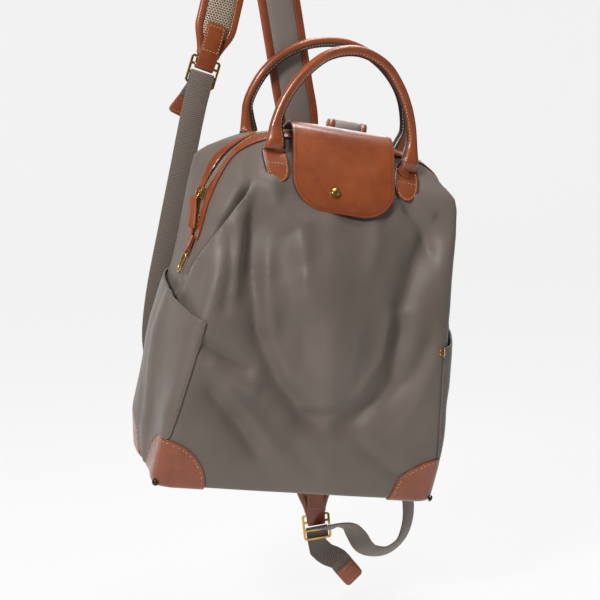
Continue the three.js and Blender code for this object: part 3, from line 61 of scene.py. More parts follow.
TO_WORLD = Matrix.Scale(0.001, 4) @ LEAN @ Matrix.Translation(-HANG_POINT)
TO_BAG = TO_WORLD.inverted()
GAP = 0.3
X = Vector((1, 0, 0))
Y = Vector((0, 1, 0))
Z = Vector((0, 0, 1))

# Camera and studio

# The camera was fitted to the photograph: how far it stands off in metres, and its turn and pitch
CAMERA_DISTANCE = 1.1023
CAMERA_TURN = math.radians(-18.31)
CAMERA_PITCH = math.radians(88)
view_target = TO_WORLD @ Vector((0, 0, 200))
camera_data = bpy.data.cameras.new("camera")
camera = bpy.data.objects.new("camera", camera_data)
bpy.context.scene.collection.objects.link(camera)
bpy.context.scene.camera = camera
camera.rotation_euler = (CAMERA_PITCH, 0, CAMERA_TURN)
camera.location = view_target + camera.rotation_euler.to_matrix() @ Z * CAMERA_DISTANCE
camera_data.sensor_width = 36
camera_data.lens = 64.9
camera_data.shift_x = -0.0245
camera_data.shift_y = -0.0241


def softbox(name, place, size, power, aim):
    """A square area light at a place, turned towards a point."""
    data = bpy.data.lights.new(name, "AREA")
    data.shape = "SQUARE"
    data.size = size
    data.energy = power
    light = bpy.data.objects.new(name, data)
    bpy.context.scene.collection.objects.link(light)
    light.location = place
    light.rotation_euler = (Vector(aim) - Vector(place)).to_track_quat("-Z", "Y").to_euler()


# Place, size and power of each light, and the place that it points at, in metres
softbox("key_light", (-1.15, -1.1, 0.45), 0.35, 27, (0.08, 0, -0.42))
softbox("top_light", (0.1, -0.4, 1.0), 0.45, 8, (0.1, 0, -0.3))
softbox("shine_light", (0.3, 0.15, 0.75), 0.4, 6, (0, 0, -0.25))
softbox("fill_light", (1.4, -1.2, -0.1), 1.0, 1.2, (0.08, 0, -0.45))
softbox("rim_light", (0.5, 1.1, 0.6), 0.8, 5, (0.08, 0, -0.4))
world = bpy.data.worlds.new("studio")
world.use_nodes = True
background = world.node_tree.nodes["Background"]
background.inputs["Color"].default_value = (1, 1, 1, 1)
# The sky is seen as a pale wall, and lights the bag less than it shows
SKY_LIGHT = 0.08
SKY_SEEN = 0.88
sky_rays = world.node_tree.nodes.new("ShaderNodeLightPath")
sky_strength = world.node_tree.nodes.new("ShaderNodeMapRange")
sky_strength.inputs["To Min"].default_value = SKY_LIGHT
sky_strength.inputs["To Max"].default_value = SKY_SEEN
world.node_tree.links.new(sky_rays.outputs["Is Camera Ray"], sky_strength.inputs["Value"])
world.node_tree.links.new(sky_strength.outputs[0], background.inputs["Strength"])
bpy.context.scene.world = world
bpy.context.scene.view_settings.view_transform = "Standard"


# Finishes

class Finish:
    """A material made from the main shader and the nodes that feed it."""

    def __init__(self, name, **sockets):
        self.material = bpy.data.materials.new(name)
        self.material.use_nodes = True
        self.tree = self.material.node_tree
        self.shader = self.tree.nodes["Principled BSDF"]
        for socket, value in sockets.items():
            self.shader.inputs[socket.replace("_", " ")].default_value = value
        self.places = self.tree.nodes.new("ShaderNodeTexCoord")
        self.relief = None

    def join(self, socket, value):
        if isinstance(value, bpy.types.NodeSocket):
            self.tree.links.new(value, socket)
        else:
            socket.default_value = value

    def node(self, kind, settings, **inputs):
        made = self.tree.nodes.new("ShaderNode" + kind)
        for key, value in settings.items():
            setattr(made, key, value)
        for key, value in inputs.items():
            self.join(made.inputs[key.replace("_", " ")], value)
        return made

    def spots(self, kind="Object", stretch=(1, 1, 1)):
        mapping = self.node("Mapping", {}, Vector=self.places.outputs[kind], Scale=stretch)
        return mapping.outputs[0]

    def clouds(self, scale, detail=2.0, stretch=(1, 1, 1)):
        made = self.node("TexNoise", {}, Vector=self.spots(stretch=stretch), Scale=scale, Detail=detail)
        return made.outputs[0]

    def cells(self, scale):
        return self.node("TexVoronoi", {}, Vector=self.spots(), Scale=scale).outputs["Distance"]

    def bands(self, period, direction, kind="Object"):
        """Waves with a period in metres. The wave node's own period at scale 1 is 2 pi / 20."""
        settings = {"wave_type": "BANDS", "bands_direction": direction}
        scale = 2 * math.pi / (20 * period)
        return self.node("TexWave", settings, Vector=self.spots(kind), Scale=scale).outputs["Fac"]

    def sums(self, operation, first, second):
        made = self.tree.nodes.new("ShaderNodeMath")
        made.operation = operation
        self.join(made.inputs[0], first)
        self.join(made.inputs[1], second)
        return made.outputs[0]

    def spread(self, value, low, high, new_low=0.0, new_high=1.0):
        """A value from low to high, spread from new_low to new_high."""
        made = self.node("MapRange", {}, Value=value, From_Min=low, From_Max=high, To_Min=new_low,
                         To_Max=new_high)
        return made.outputs[0]

    def tint(self, share, first, second):
        """A mix of two colours. The mix node's colour sockets have only their numbers to go by."""
        made = self.tree.nodes.new("ShaderNodeMix")
        made.data_type = "RGBA"
        self.join(made.inputs[0], share)
        self.join(made.inputs[6], first)
        self.join(made.inputs[7], second)
        return made.outputs[2]

    def bump(self, height, strength, distance):
        made = self.node("Bump", {}, Height=height, Strength=strength, Distance=distance)
        if self.relief is not None:
            self.join(made.inputs["Normal"], self.relief)
        self.relief = made.outputs[0]
        self.join(self.shader.inputs["Normal"], self.relief)

    def colour(self, value):
        self.join(self.shader.inputs["Base Color"], value)

    def roughness(self, value):
        self.join(self.shader.inputs["Roughness"], value)


def rgb(red, green, blue):
    """A colour given as it is seen on a screen, as the shader's linear numbers."""
    def linear(c):
        c = c / 255
        return c / 12.92 if c <= 0.04045 else ((c + 0.055) / 1.055) ** 2.4
    return (linear(red), linear(green), linear(blue), 1)


def nylon_finish(name, light, dark):
    made = Finish(name, Specular_IOR_Level=0.42, Sheen_Weight=0.18, Sheen_Roughness=0.4)
    cloudy = made.clouds(9, 3)
    made.colour(made.tint(made.spread(cloudy, 0.35, 0.65), rgb(*dark), rgb(*light)))
    made.roughness(made.spread(made.clouds(60, 2), 0.3, 0.7, 0.48, 0.58))
    weave = made.sums("MULTIPLY", made.bands(0.0007, "X"), made.bands(0.0007, "Z"))
    made.bump(weave, 0.1, 0.0002)
    made.bump(made.clouds(30, 3, (1, 1, 0.7)), 0.14, 0.002)
    made.bump(made.clouds(150, 3), 0.1, 0.0006)
    return made.material


def leather_finish(name, light, dark, rough=0.3):
    made = Finish(name, Specular_IOR_Level=0.5, Coat_Weight=0.35, Coat_Roughness=0.14)
    patchy = made.sums("ADD", made.clouds(16, 4), made.sums("MULTIPLY", made.clouds(90, 3), 0.35))
    made.colour(made.tint(made.spread(patchy, 0.5, 0.85), rgb(*dark), rgb(*light)))
    made.roughness(made.spread(made.clouds(120, 2), 0.3, 0.7, rough, rough + 0.14))
    made.bump(made.cells(850), 0.2, 0.0003)
    made.bump(made.clouds(260, 3), 0.25, 0.0005)
    return made.material


def metal_finish(name, light, dark, rough, metallic=1.0):
    made = Finish(name, Metallic=metallic)
    made.colour(made.tint(made.spread(made.clouds(45, 3), 0.35, 0.65), rgb(*dark), rgb(*light)))
    made.roughness(made.spread(made.clouds(300, 4), 0.3, 0.7, rough, rough + 0.12))
    made.bump(made.clouds(500, 2), 0.05, 0.0002)
    return made.material


def webbing_finish():
    made = Finish("woven_webbing", Sheen_Weight=0.25, Specular_IOR_Level=0.35)
    ribs = made.bands(0.0022, "Y", "UV")
    threads = made.bands(0.0009, "X", "UV")
    made.colour(made.tint(made.spread(ribs, 0.0, 0.8), rgb(88, 78, 70), rgb(118, 106, 96)))
    made.roughness(made.spread(made.clouds(80, 2), 0.3, 0.7, 0.55, 0.7))
    made.bump(ribs, 0.5, 0.0004)
    made.bump(threads, 0.25, 0.0002)
    return made.material


def honeycomb_finish():
    """Spacer mesh: threads round staggered holes."""
    made = Finish("honeycomb_mesh", Roughness=0.8, Sheen_Weight=0.2)
    grid = made.node("TexBrick", {"offset": 0.5}, Vector=made.spots("UV"), Scale=1000.0,
                     Mortar_Size=0.55, Mortar_Smooth=0.6, Brick_Width=3.0, Row_Height=2.4)
    made.colour(made.tint(grid.outputs["Fac"], rgb(92, 78, 64), rgb(205, 186, 160)))
    made.bump(grid.outputs["Fac"], 0.8, 0.0008)
    return made.material


NYLON = nylon_finish("taupe_nylon", (110, 98, 90), (100, 89, 81))
STRAP_NYLON = nylon_finish("strap_nylon", (126, 116, 108), (116, 106, 98))
LEATHER = leather_finish("tan_leather", (146, 72, 34), (120, 56, 26))
PAINTED_EDGE = leather_finish("painted_edge", (46, 32, 26), (28, 20, 17), 0.4)
BRASS = metal_finish("warm_brass", (222, 184, 108), (188, 146, 76), 0.2)
DARK_METAL = metal_finish("dark_metal", (86, 70, 58), (52, 42, 36), 0.3)
TEETH = metal_finish("zip_teeth", (236, 220, 184), (206, 184, 142), 0.3, 0.6)
WEBBING = webbing_finish()
HONEYCOMB = honeycomb_finish()


def thread_finish(name, light, dark):
    made = Finish(name, Specular_IOR_Level=0.4)
    made.colour(made.tint(made.spread(made.clouds(200), 0.3, 0.7), rgb(*dark), rgb(*light)))
    made.roughness(made.spread(made.clouds(400), 0.3, 0.7, 0.45, 0.6))
    return made.material


THREAD = thread_finish("pale_thread", (222, 184, 142), (196, 150, 104))
DARK_THREAD = thread_finish("brown_thread", (96, 40, 20), (74, 30, 16))


def backdrop_finish():
    made = Finish("pale_backdrop", Roughness=0.9, Specular_IOR_Level=0.1, Emission_Strength=0.84)
    made.shader.inputs["Emission Color"].default_value = (1, 1, 1, 1)
    made.colour(made.tint(made.clouds(2), rgb(88, 88, 88), rgb(92, 92, 92)))
    return made.material


# Helpers for pieces

def finished(name, bm, finishes, slot, *nodes, sharp=40):
    """A mesh made in bag millimetres becomes a piece in its place, with its finishes."""
    bm.transform(TO_WORLD)
    mesh = bpy.data.meshes.new(name)
    bm.to_mesh(mesh)
    bm.free()
    for finish in finishes:
        mesh.materials.append(finish)
    mesh.shade_smooth()
    mesh.set_sharp_from_angle(angle=math.radians(sharp))
    piece = bpy.data.objects.new(name, mesh)
    bpy.context.scene.collection.objects.link(piece)
    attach(piece, "root")
    if nodes:
        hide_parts(*nodes)
    return piece


def soften(piece, edge, segments, angle):
    """Rounds the edges that are sharper than an angle, by a width in millimetres."""
    soft = piece.modifiers.new("soft_edge", "BEVEL")
    soft.width = edge / 1000
    soft.segments = segments
    soft.limit_method = "ANGLE"
    soft.angle_limit = math.radians(angle)


def thicken(piece, thick, edge, offset=1, rim=0):
    """Gives a sheet its thickness, in millimetres, and softens its edges. rim: the rim's finish."""
    wall = piece.modifiers.new("wall", "SOLIDIFY")
    wall.thickness = thick / 1000
    wall.offset = offset
    wall.material_offset_rim = rim
    soften(piece, edge, 2, 50)


def cad_copy(node):
    """A solid's mesh in bag millimetres."""
    bm = bmesh.new()
    bm.from_mesh(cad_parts[node].data)
    bm.transform(TO_BAG)
    bmesh.ops.remove_doubles(bm, verts=bm.verts, dist=0.01)
    return bm


def remeshed(bm, size):
    """An even mesh of small squares over a closed skin, as a new mesh to go on with."""
    mesh = bpy.data.meshes.new("working")
    bm.to_mesh(mesh)
    bm.free()
    obj = bpy.data.objects.new("working", mesh)
    bpy.context.scene.collection.objects.link(obj)
    squares = obj.modifiers.new("squares", "REMESH")
    squares.mode = "VOXEL"
    squares.voxel_size = size
    done = obj.evaluated_get(bpy.context.evaluated_depsgraph_get())
    made = bmesh.new()
    made.from_mesh(done.to_mesh())
    bpy.data.objects.remove(obj)
    bpy.data.meshes.remove(mesh)
    return made


ON_THE_LINE = 0.25


def cut_by(bm, outside):
    """Keeps the part of a surface where outside(place) is below 0, with a clean edge."""
    value = {}
    for v in bm.verts:
        far = outside(v.co)
        value[v] = 0.0 if abs(far) < ON_THE_LINE else far
    for edge in list(bm.edges):
        a, b = edge.verts
        if value[a] * value[b] < 0:
            vert = bmesh.utils.edge_split(edge, a, value[a] / (value[a] - value[b]))[1]
            value[vert] = 0.0
    for face in list(bm.faces):
        marks = [v for v in face.verts if value[v] == 0]
        if len(marks) != 2 or any(e.other_vert(marks[0]) is marks[1] for e in marks[0].link_edges):
            continue
        bmesh.utils.face_split(face, marks[0], marks[1])
    lost = [f for f in bm.faces if sum(value[v] for v in f.verts) > 0]
    bmesh.ops.delete(bm, geom=lost, context="FACES")
    bmesh.ops.dissolve_degenerate(bm, edges=bm.edges, dist=0.05)


def smoothed(bm, rounds):
    axes = {"use_axis_x": True, "use_axis_y": True, "use_axis_z": True}
    for _ in range(rounds):
        bmesh.ops.smooth_vert(bm, verts=bm.verts, factor=0.5, **axes)


def moved_out(bm, distance):
    """Moves a surface along its own normals, by a function of the place."""
    bm.normal_update()
    steps = [(v, v.normal * distance(v.co)) for v in bm.verts]
    for v, step in steps:
        v.co += step


def ease(t):
    """A soft step from 0 to 1, as t goes from 0 to 1."""
    t = min(1, max(0, t))
    return t * t * (3 - 2 * t)


def mix(a, b, t):
    return a + (b - a) * t


def placed(row):
    """A place given as shares of half width, half depth and height."""
    out, deep, up = row[:3]
    return Vector((out * HALF_WIDTH, deep * HALF_DEPTH, up * HEIGHT))


def smooth_point(points, t, tension=None):
    """A point of the smooth curve through others, t from 0 to 1."""
    last = len(points) - 1
    i = min(int(t * last), last - 1)
    w = t * last - i
    b, c = points[i], points[i + 1]
    a = points[i - 1] if i > 0 else b * 2 - c
    d = points[i + 2] if i + 2 <= last else c * 2 - b
    if tension is None:
        s0, s1, s2 = (max(step.length, 1e-8) ** 0.5 for step in (b - a, c - b, d - c))
        start = ((b - a) / s0 - (c - a) / (s0 + s1) + (c - b) / s1) * s1
        end = ((c - b) / s1 - (d - b) / (s1 + s2) + (d - c) / s2) * s1
    else:
        start = (c - a) * tension
        end = (d - b) * tension
    bend = (c - b) * 3 - start * 2 - end
    twist = (b - c) * 2 + start + end
    return b + start * w + bend * w * w + twist * w * w * w


class Station:
    """A place on a strip, with the direction across it, the way it faces and the distance along it."""

    def __init__(self, at, across, face, far=0.0, share=1.0):
        self.at = at
        self.across = across
        self.face = face
        self.far = far
        self.share = share

    def point(self, across, out):
        return self.at + self.across * across + self.face * out


class Way:
    """A smooth way through the rows of a table, read by the distance along it."""

    def __init__(self, rows, after=()):
        places = [placed(row) for row in rows] + [Vector(stop[:3]) for stop in after]
        faces = [Vector(row[3:6]).normalized() for row in rows] + [Vector(stop[3:6]) for stop in after]
        fine = len(places) * 16
        self.samples = []
        far = 0.0
        for i in range(fine + 1):
            at = smooth_point(places, i / fine)
            far += (at - self.samples[-1][0]).length if self.samples else 0
            self.samples.append((at, smooth_point(faces, i / fine, 0.4).normalized(), far))
        self.length = far

    def station(self, distance, share=1.0):
        far = min(max(distance, 0), self.length)
        i = 0
        while i < len(self.samples) - 2 and self.samples[i + 1][2] < far:
            i += 1
        (at_a, face_a, far_a), (at_b, face_b, far_b) = self.samples[i], self.samples[i + 1]
        t = (far - far_a) / (far_b - far_a)
        forward = (at_b - at_a).normalized()
        face = face_a.lerp(face_b, t)
        face = (face - forward * face.dot(forward)).normalized()
        at = at_a.lerp(at_b, t) + forward * (distance - far)
        return Station(at, forward.cross(face).normalized(), face, distance, share)

    def stations(self, start, stop, step):
        count = max(1, round((stop - start) / step))
        return [self.station(mix(start, stop, i / count)) for i in range(count + 1)]


def strip(stations, section, closed=True):
    """A skin through the sections of the stations. section(station) gives (across, out) pairs."""
    sections = [section(station) for station in stations]
    across = len(sections[0]) if closed else len(sections[0]) - 1
    along = len(stations) - 1
    bm = bmesh.new()
    bmesh.ops.create_grid(bm, x_segments=across, y_segments=along, size=0.5)
    uv = bm.loops.layers.uv.new("UVMap")
    around = [0.0]
    pairs = sections[len(sections) // 2]
    for i in range(across):
        a, b = pairs[i], pairs[(i + 1) % len(pairs)]
        around.append(around[-1] + math.hypot(b[0] - a[0], b[1] - a[1]))
    run = [0.0]
    for a, b in zip(stations, stations[1:]):
        run.append(run[-1] + (b.at - a.at).length)
    spots = {}
    for v in bm.verts:
        i = round((v.co.x + 0.5) * across)
        j = round((v.co.y + 0.5) * along)
        spots[v] = (i, j)
    for face in bm.faces:
        for loop in face.loops:
            i, j = spots[loop.vert]
            loop[uv].uv = (around[i] / 1000, run[j] / 1000)
    for v, (i, j) in spots.items():
        v.co = stations[j].point(*sections[j][i % len(sections[j])])
    if closed:
        bmesh.ops.remove_doubles(bm, verts=bm.verts, dist=0.001)
        rims = [e for e in bm.edges if e.is_boundary]
        bmesh.ops.holes_fill(bm, edges=rims, sides=0)
        bmesh.ops.recalc_face_normals(bm, faces=bm.faces)
    return bm


def rounded_bar(wide, thick, soft):
    """A section with rounded sides, wide across and thick through."""
    a, b = wide / 2, thick / 2
    s = min(soft, b * 0.98, a * 0.98)
    k = s * 0.3
    return [(-a + s, -b), (0, -b), (a - s, -b), (a - k, -b + k), (a, -b + s), (a, b - s), (a - k, b - k),
            (a - s, b), (0, b), (-a + s, b), (-a + k, b - k), (-a, b - s), (-a, -b + s), (-a + k, -b + k)]


FOLD_STEPS = 12


def fold_round(bar, across, face, away, radius, legs, spread, start=0.0):
    """The stations of a strip folded round a bar: out along one leg, round and back."""
    made = []
    if start == 0:
        made.append(Station(bar + away * legs[0] + face * spread, across, face))
        made.append(Station(bar + away * legs[0] * 0.4 + face * spread, across, face))
    for i in range(FOLD_STEPS + 1):
        angle = mix(start, math.pi, i / FOLD_STEPS)
        out = face * math.cos(angle) - away * math.sin(angle)
        made.append(Station(bar + out * radius, across, out))
    made.append(Station(bar + away * legs[1] * 0.4 - face * spread, across, -face))
    made.append(Station(bar + away * legs[1] - face * spread, across, -face))
    return made


def add_stitches(bm, spots, length=2.2, thick=0.75):
    """Small rounded stitches, each given as a place, the way it runs and the way it faces."""
    for at, forward, out in spots:
        side = forward.cross(out).normalized()
        turn = Matrix((forward.normalized(), side, out.normalized())).transposed().to_4x4()
        shape = turn @ Matrix.Diagonal((length / 2, thick / 2, thick / 2.6, 1))
        bmesh.ops.create_icosphere(bm, subdivisions=1, radius=1, matrix=Matrix.Translation(at) @ shape)


def even_places(points, pitch):
    """Places at an even pitch along a line, each with the way it runs and the number of its stretch."""
    left = pitch / 2
    for number, (a, b) in enumerate(zip(points, points[1:])):
        span = (b - a).length
        while left <= span:
            forward = (b - a) / span
            yield a + forward * left, forward, number
            left += pitch
        left -= span


def stitch_run(bm, points, outs, pitch=3.3, **size):
    """Stitches at an even pitch along a line of points."""
    spots = [(at, forward, outs[number]) for at, forward, number in even_places(points, pitch)]
    add_stitches(bm, spots, **size)


def sewn(name, lines, thread=THREAD, **size):
    """One piece of thread for several stitched lines, each a list of (place, out)."""
    bm = bmesh.new()
    for line in lines:
        stitch_run(bm, [at for at, _ in line], [out for _, out in line], **size)
    return finished(name, bm, [thread], "leather")


# Seats on the solid body, for what is sewn to the cloth

solid_body = BVHTree.FromBMesh(cad_copy("bag_body"))


def cloth_at(x, z, side):
    start = Vector((x, side * 3 * HALF_DEPTH, z))
    return solid_body.ray_cast(start, Y * -side)[0].y


def seat(x, z, side, step=3):
    """A place on the body's front (side -1) or back (side 1), and the way it faces there."""
    slope_x = (cloth_at(x + step, z, side) - cloth_at(x - step, z, side)) / (2 * step)
    slope_z = (cloth_at(x, z + step, side) - cloth_at(x, z - step, side)) / (2 * step)
    out = Vector((-slope_x * side, side, -slope_z * side)).normalized()
    return Vector((x, cloth_at(x, z, side), z)), out


# Shoulder straps

# Share of half width, half depth and height, then the way the outer cloth faces
STRAP_ROWS = {
    "carrying": [
        (-0.16, 0.96, 0.862, 0, -1, 0), (-0.162, 0.945, 0.92, 0, -1, 0), (-0.18, 0.94, 0.98, 0, -1, 0),
        (-0.21, 0.91, 1.035, 0, -1, 0), (-0.285, 0.91, 1.12, 0, -1, 0), (-0.385, 0.91, 1.237, 0, -1, 0),
        (-0.485, 0.91, 1.352, 0, -1, 0), (-0.6, 0.92, 1.482, 0, -1, 0), (-0.685, 0.96, 1.585, 0, -1, 0.05),
        (-0.73, 1.06, 1.655, 0, -0.85, 0.5), (-0.755, 1.26, 1.69, 0, 0, 1),
        (-0.775, 1.46, 1.655, 0, 0.85, 0.5), (-0.79, 1.54, 1.585, 0, 1, 0.05),
        (-0.805, 1.54, 1.46, 0, 1, 0), (-0.822, 1.52, 1.33, 0, 1, 0), (-0.84, 1.5, 1.247, 0, 1, 0),
        (-0.869, 1.47, 1.164, 0, 1, 0), (-0.892, 1.43, 1.105, 0, 1, 0), (-0.925, 1.33, 0.98, 0, 1, 0),
        (-0.945, 1.27, 0.84, 0, 1, 0), (-0.968, 1.24, 0.65, 0, 1, 0), (-0.985, 1.25, 0.45, 0, 1, 0),
        (-0.965, 1.3, 0.32, 0, 1, 0), (-0.915, 1.35, 0.235, 0, 1, 0), (-0.898, 1.35, 0.18, 0, 0.9, -0.4),
        (-0.897, 1.26, 0.135, 0, 0, -1),
    ],
    "hanging": [
        (0.165, 0.96, 0.862, 0, -1, 0), (0.17, 0.96, 0.92, 0, -1, 0), (0.18, 0.99, 0.975, 0, -1, 0),
        (0.2, 1.08, 1.028, 0, -0.75, 0.66), (0.22, 1.26, 1.035, 0, 0.35, 0.93),
        (0.245, 1.41, 0.985, 0, 0.95, 0.3), (0.27, 1.45, 0.9, 0, 1, 0), (0.31, 1.42, 0.76, 0, 1, 0),
        (0.34, 1.36, 0.56, 0, 1, 0), (0.365, 1.3, 0.36, 0, 1, 0), (0.395, 1.28, 0.16, 0, 1, 0),
        (0.42, 1.22, 0, 0, 1, -0.05), (0.45, 1.1, -0.12, 0, 1, -0.1), (0.5, 1.0, -0.225, 0.1, 1, 0),
        (0.545, 0.96, -0.29, 0.15, 1, 0),
    ],
}
HANGING_WEBBING = [
    (0.524, 0.886, -0.2477, 0, -0.3, -0.95), (0.548, 0.735, -0.233, 0, -0.6, -0.8),
    (0.621, 0.629, -0.2116, 0.1, -0.6, -0.8), (0.717, 0.652, -0.2145, 0, -0.7, -0.7),
    (0.814, 0.773, -0.25, -0.1, -0.75, -0.65), (0.9, 0.83, -0.292, -0.1, -0.8, -0.6),
    (0.98, 0.9, -0.314, -0.1, -0.8, -0.6), (1.12, 0.92, -0.316, 0.1, -0.75, -0.65),
    (1.235, 0.95, -0.28, 0.5, -0.75, -0.45), (1.275, 0.98, -0.21, 0.6, -0.78, -0.1),
    (1.24, 1.04, -0.12, 0.6, -0.75, 0.2), (1.14, 1.12, -0.02, 0.6, -0.7, 0.35),
    (0.98, 1.17, 0.07, 0.3, -0.95, 0.2),
]
TAILS = {
    "carrying": [
        (-0.913, 1.48, 1.058, 0.1, -1, 0.1), (-0.93, 1.535, 1.043, 0.2, -0.95, 0.1),
        (-0.945, 1.575, 1.03, 0.3, -0.95, 0),
    ],
    "hanging": [
        (0.559, 1.015, -0.318, 0, -1, 0), (0.634, 0.985, -0.34, -0.1, -0.9, 0.3),
        (0.731, 0.94, -0.352, -0.3, -0.75, 0.5), (0.786, 0.91, -0.372, -0.4, -0.7, 0.5),
    ],
}
PAD_LENGTH = {"carrying": 507, "hanging": 515}
STRAP_WIDTH = 44
STRAP_NARROW = 24
STRAP_TAPER = 34
STRAP_EDGE = 8
EDGE_SEAM = 5.9
# Each face of a pad: how thick it is at its sides and at its crowned middle
PANEL = 2.7
CROWN = 1.22 * PANEL
TAB_LEATHER = 2
TAB_BEYOND = 11
BAR_PITCH = 9.5
LAST_PITCH = 10
WEBBING_WIDTH = 25
WEBBING_THICK = 1.5
# The sleeves low on the back that the webbing ends in
SLEEVE_ASIDE = 130
SLEEVE_LOW = 64
SLEEVE_TOP = 102
SLEEVE_HALF = 17


def sleeve_stops(side):
    """Where a webbing goes up into its sleeve, close to the cloth, and the way it faces there."""
    stops = []
    for z, stand in ((SLEEVE_LOW - 7, 2.2), (SLEEVE_LOW + 3, 0.6), (SLEEVE_TOP - 10, 0.6)):
        at, out = seat(side * SLEEVE_ASIDE, z, 1)
        stops.append((*(at + out * (stand + GAP + WEBBING_THICK / 2)), *-out))
    return stops


STRAP_WAYS = {
    "carrying": Way(STRAP_ROWS["carrying"], sleeve_stops(-1)),
    "hanging": Way(STRAP_ROWS["hanging"]),
}


BUCKLE_BAR = (2.6, 2.4)


def around_bar(thick):
    """The radius at which a strip of a thickness goes round a buckle's bar."""
    return math.hypot(*BUCKLE_BAR) / 2 + 1.5 * GAP + thick / 2


def strap_pad(name):
    """The padded part of a strap: cloth outside, mesh inside and a leather edge on either side."""
    way = STRAP_WAYS[name]
    pad = PAD_LENGTH[name]
    stations = way.stations(0, pad, 4)

    def half_width(station):
        left = pad - station.far
        return mix(STRAP_NARROW, STRAP_WIDTH, ease(left / STRAP_TAPER + 0.05)) / 2

    def panel(side):
        def section(station):
            a = half_width(station) - STRAP_EDGE
            soft = min(1.4, a * 0.3)
            pairs = [(-a, 0.15), (0, 0.15), (a, 0.15), (a, PANEL * 0.7), (a - soft, PANEL),
                     (a * 0.45, CROWN * 0.97), (0, CROWN), (-a * 0.45, CROWN * 0.97), (-a + soft, PANEL),
                     (-a, PANEL * 0.7)]
            return [(x, side * y) for x, y in pairs]
        return section

    def edge(side):
        def section(station):
            wide = half_width(station)
            a = wide - STRAP_EDGE + GAP
            upper = [(wide - 0.3, 1.5), (wide - 1.4, 2.7), (wide - 3.4, 3.25), (a + 0.7, 3.2), (a, 2.6)]
            lower = [(x, -y) for x, y in upper[::-1]]
            return [(side * x, y) for x, y in lower + [(wide, 0)] + upper]
        return section

    outer = strip(stations, panel(1))
    finished(name + "_outer_cloth", outer, [STRAP_NYLON], "nylon", name + "_strap_outer")
    inner = strip(stations, panel(-1))
    finished(name + "_inner_mesh", inner, [HONEYCOMB], "mesh_cloth", name + "_strap_mesh")
    lines = []
    for letter, side in (("a", -1), ("b", 1)):
        finished(f"{name}_leather_edge_{letter}", strip(stations, edge(side)), [LEATHER], "leather",
                 f"{name}_strap_edge_{letter}", sharp=60)
        for out in (1, -1):
            lines.append([(s.point(side * (half_width(s) - EDGE_SEAM), out * 3.3), s.face * out)
                          for s in stations])
    sewn(name + "_edge_stitching", lines, DARK_THREAD)


def strap_end_tab(name):
    """The leather end sewn over both faces of the pad and folded round the buckle's bar."""
    way = STRAP_WAYS[name]
    pad = PAD_LENGTH[name]
    bar = way.station(pad + TAB_BEYOND)
    forward = bar.face.cross(bar.across)
    radius = around_bar(TAB_LEATHER)
    spread = CROWN + 3.6 * GAP + TAB_LEATHER / 2
    legs = {}
    for side in (1, -1):
        legs[side] = []
        for distance in (34, 26, 18, 10, 4, -2):
            s = way.station(pad - distance)
            legs[side].append(Station(s.point(0, side * spread), bar.across, bar.face * side))
    turn = fold_round(bar.at, bar.across, bar.face, -forward, radius, (1, 1), radius)[2:-2]
    stations = legs[1] + turn + legs[-1][::-1]
    tab = strip(stations, lambda s: rounded_bar(20, TAB_LEATHER, 0.9))
    finished(name + "_end_leather", tab, [LEATHER], "leather", name + "_strap_end_tab")
    lines = []
    for side in (1, -1):
        for distance in (31, 5):
            row = [way.station(pad - distance).point(x, side * (spread + 1.05)) for x in range(-8, 9, 2)]
            lines.append([(at, bar.face * side) for at in row])
        for x in (-8, 8):
            row = [way.station(pad - d).point(x, side * (spread + 1.05)) for d in (31, 22, 14, 5)]
            lines.append([(at, bar.face * side) for at in row])
    sewn(name + "_end_stitching", lines)


def strap_webbing(name):
    """Ribbed webbing from its sleeve, round the buckle's bar and on as a loose tail."""
    way = STRAP_WAYS[name]
    bar = way.station(PAD_LENGTH[name] + TAB_BEYOND + BAR_PITCH)
    forward = bar.face.cross(bar.across)
    radius = around_bar(WEBBING_THICK)
    leg = LAST_PITCH + 1
    leaves = 0 if name == "carrying" else math.radians(107)
    turn = fold_round(bar.at, bar.across, -bar.face, forward, radius, (leg, leg), radius, leaves)
    if name == "carrying":
        main = way.stations(PAD_LENGTH[name] + TAB_BEYOND + BAR_PITCH + LAST_PITCH + 16, way.length, 5)
    else:
        route = Way(HANGING_WEBBING, sleeve_stops(1))
        main = route.stations(0, route.length, 4)
        for station in main:
            station.share = mix(0.62, 1, ease(station.far / 44 - 0.6))
    tail_way = Way(TAILS[name])
    tail = tail_way.stations(0, tail_way.length, 5)

    def aligned(stations, across, travel):
        """Turned over where needed, so that each lies like the one before it."""
        made = []
        for s in stations:
            hand = 1 if s.across.dot(across) > 0 else -1
            across = s.across * hand
            made.append(Station(s.at, across, s.face * hand * travel, s.far, s.share))
        return made

    stations = aligned(main, turn[0].across, -1)[::-1] + turn + aligned(tail, turn[-1].across, 1)

    def section(station):
        return [(x * station.share, y) for x, y in rounded_bar(WEBBING_WIDTH, WEBBING_THICK, 0.7)]

    finished(name + "_webbing", strip(stations, section), [WEBBING], "webbing", name + "_strap_webbing")
    end = stations[-1]
    onward = end.at - stations[-2].at
    onward = (onward - end.face * onward.dot(end.face) - end.across * onward.dot(end.across)).normalized()
    tip = [Station(end.at + onward * d, end.across, end.face) for d in (GAP, 3, 8, 14, 19, 21, 22)]
    narrow = dict(zip(tip, (1, 1, 1, 1, 0.97, 0.88, 0.72)))
    tail_tip = strip(tip, lambda s: rounded_bar(WEBBING_WIDTH * narrow[s], 3.2, 1.3))
    finished(name + "_tail_leather", tail_tip, [LEATHER], "leather", name + "_strap_tail_tip")
    rows = []
    for side in (1, -1):
        for distance in (3, 18):
            across = [end.at + onward * distance + end.across * x + end.face * side * 1.65
                      for x in (-10, -5, 0, 5, 10)]
            rows.append([(at, end.face * side) for at in across])
    sewn(name + "_tail_stitching", rows)


for strap_name in ("carrying", "hanging"):
    strap_pad(strap_name)
    strap_end_tab(strap_name)
    strap_webbing(strap_name)

# Body

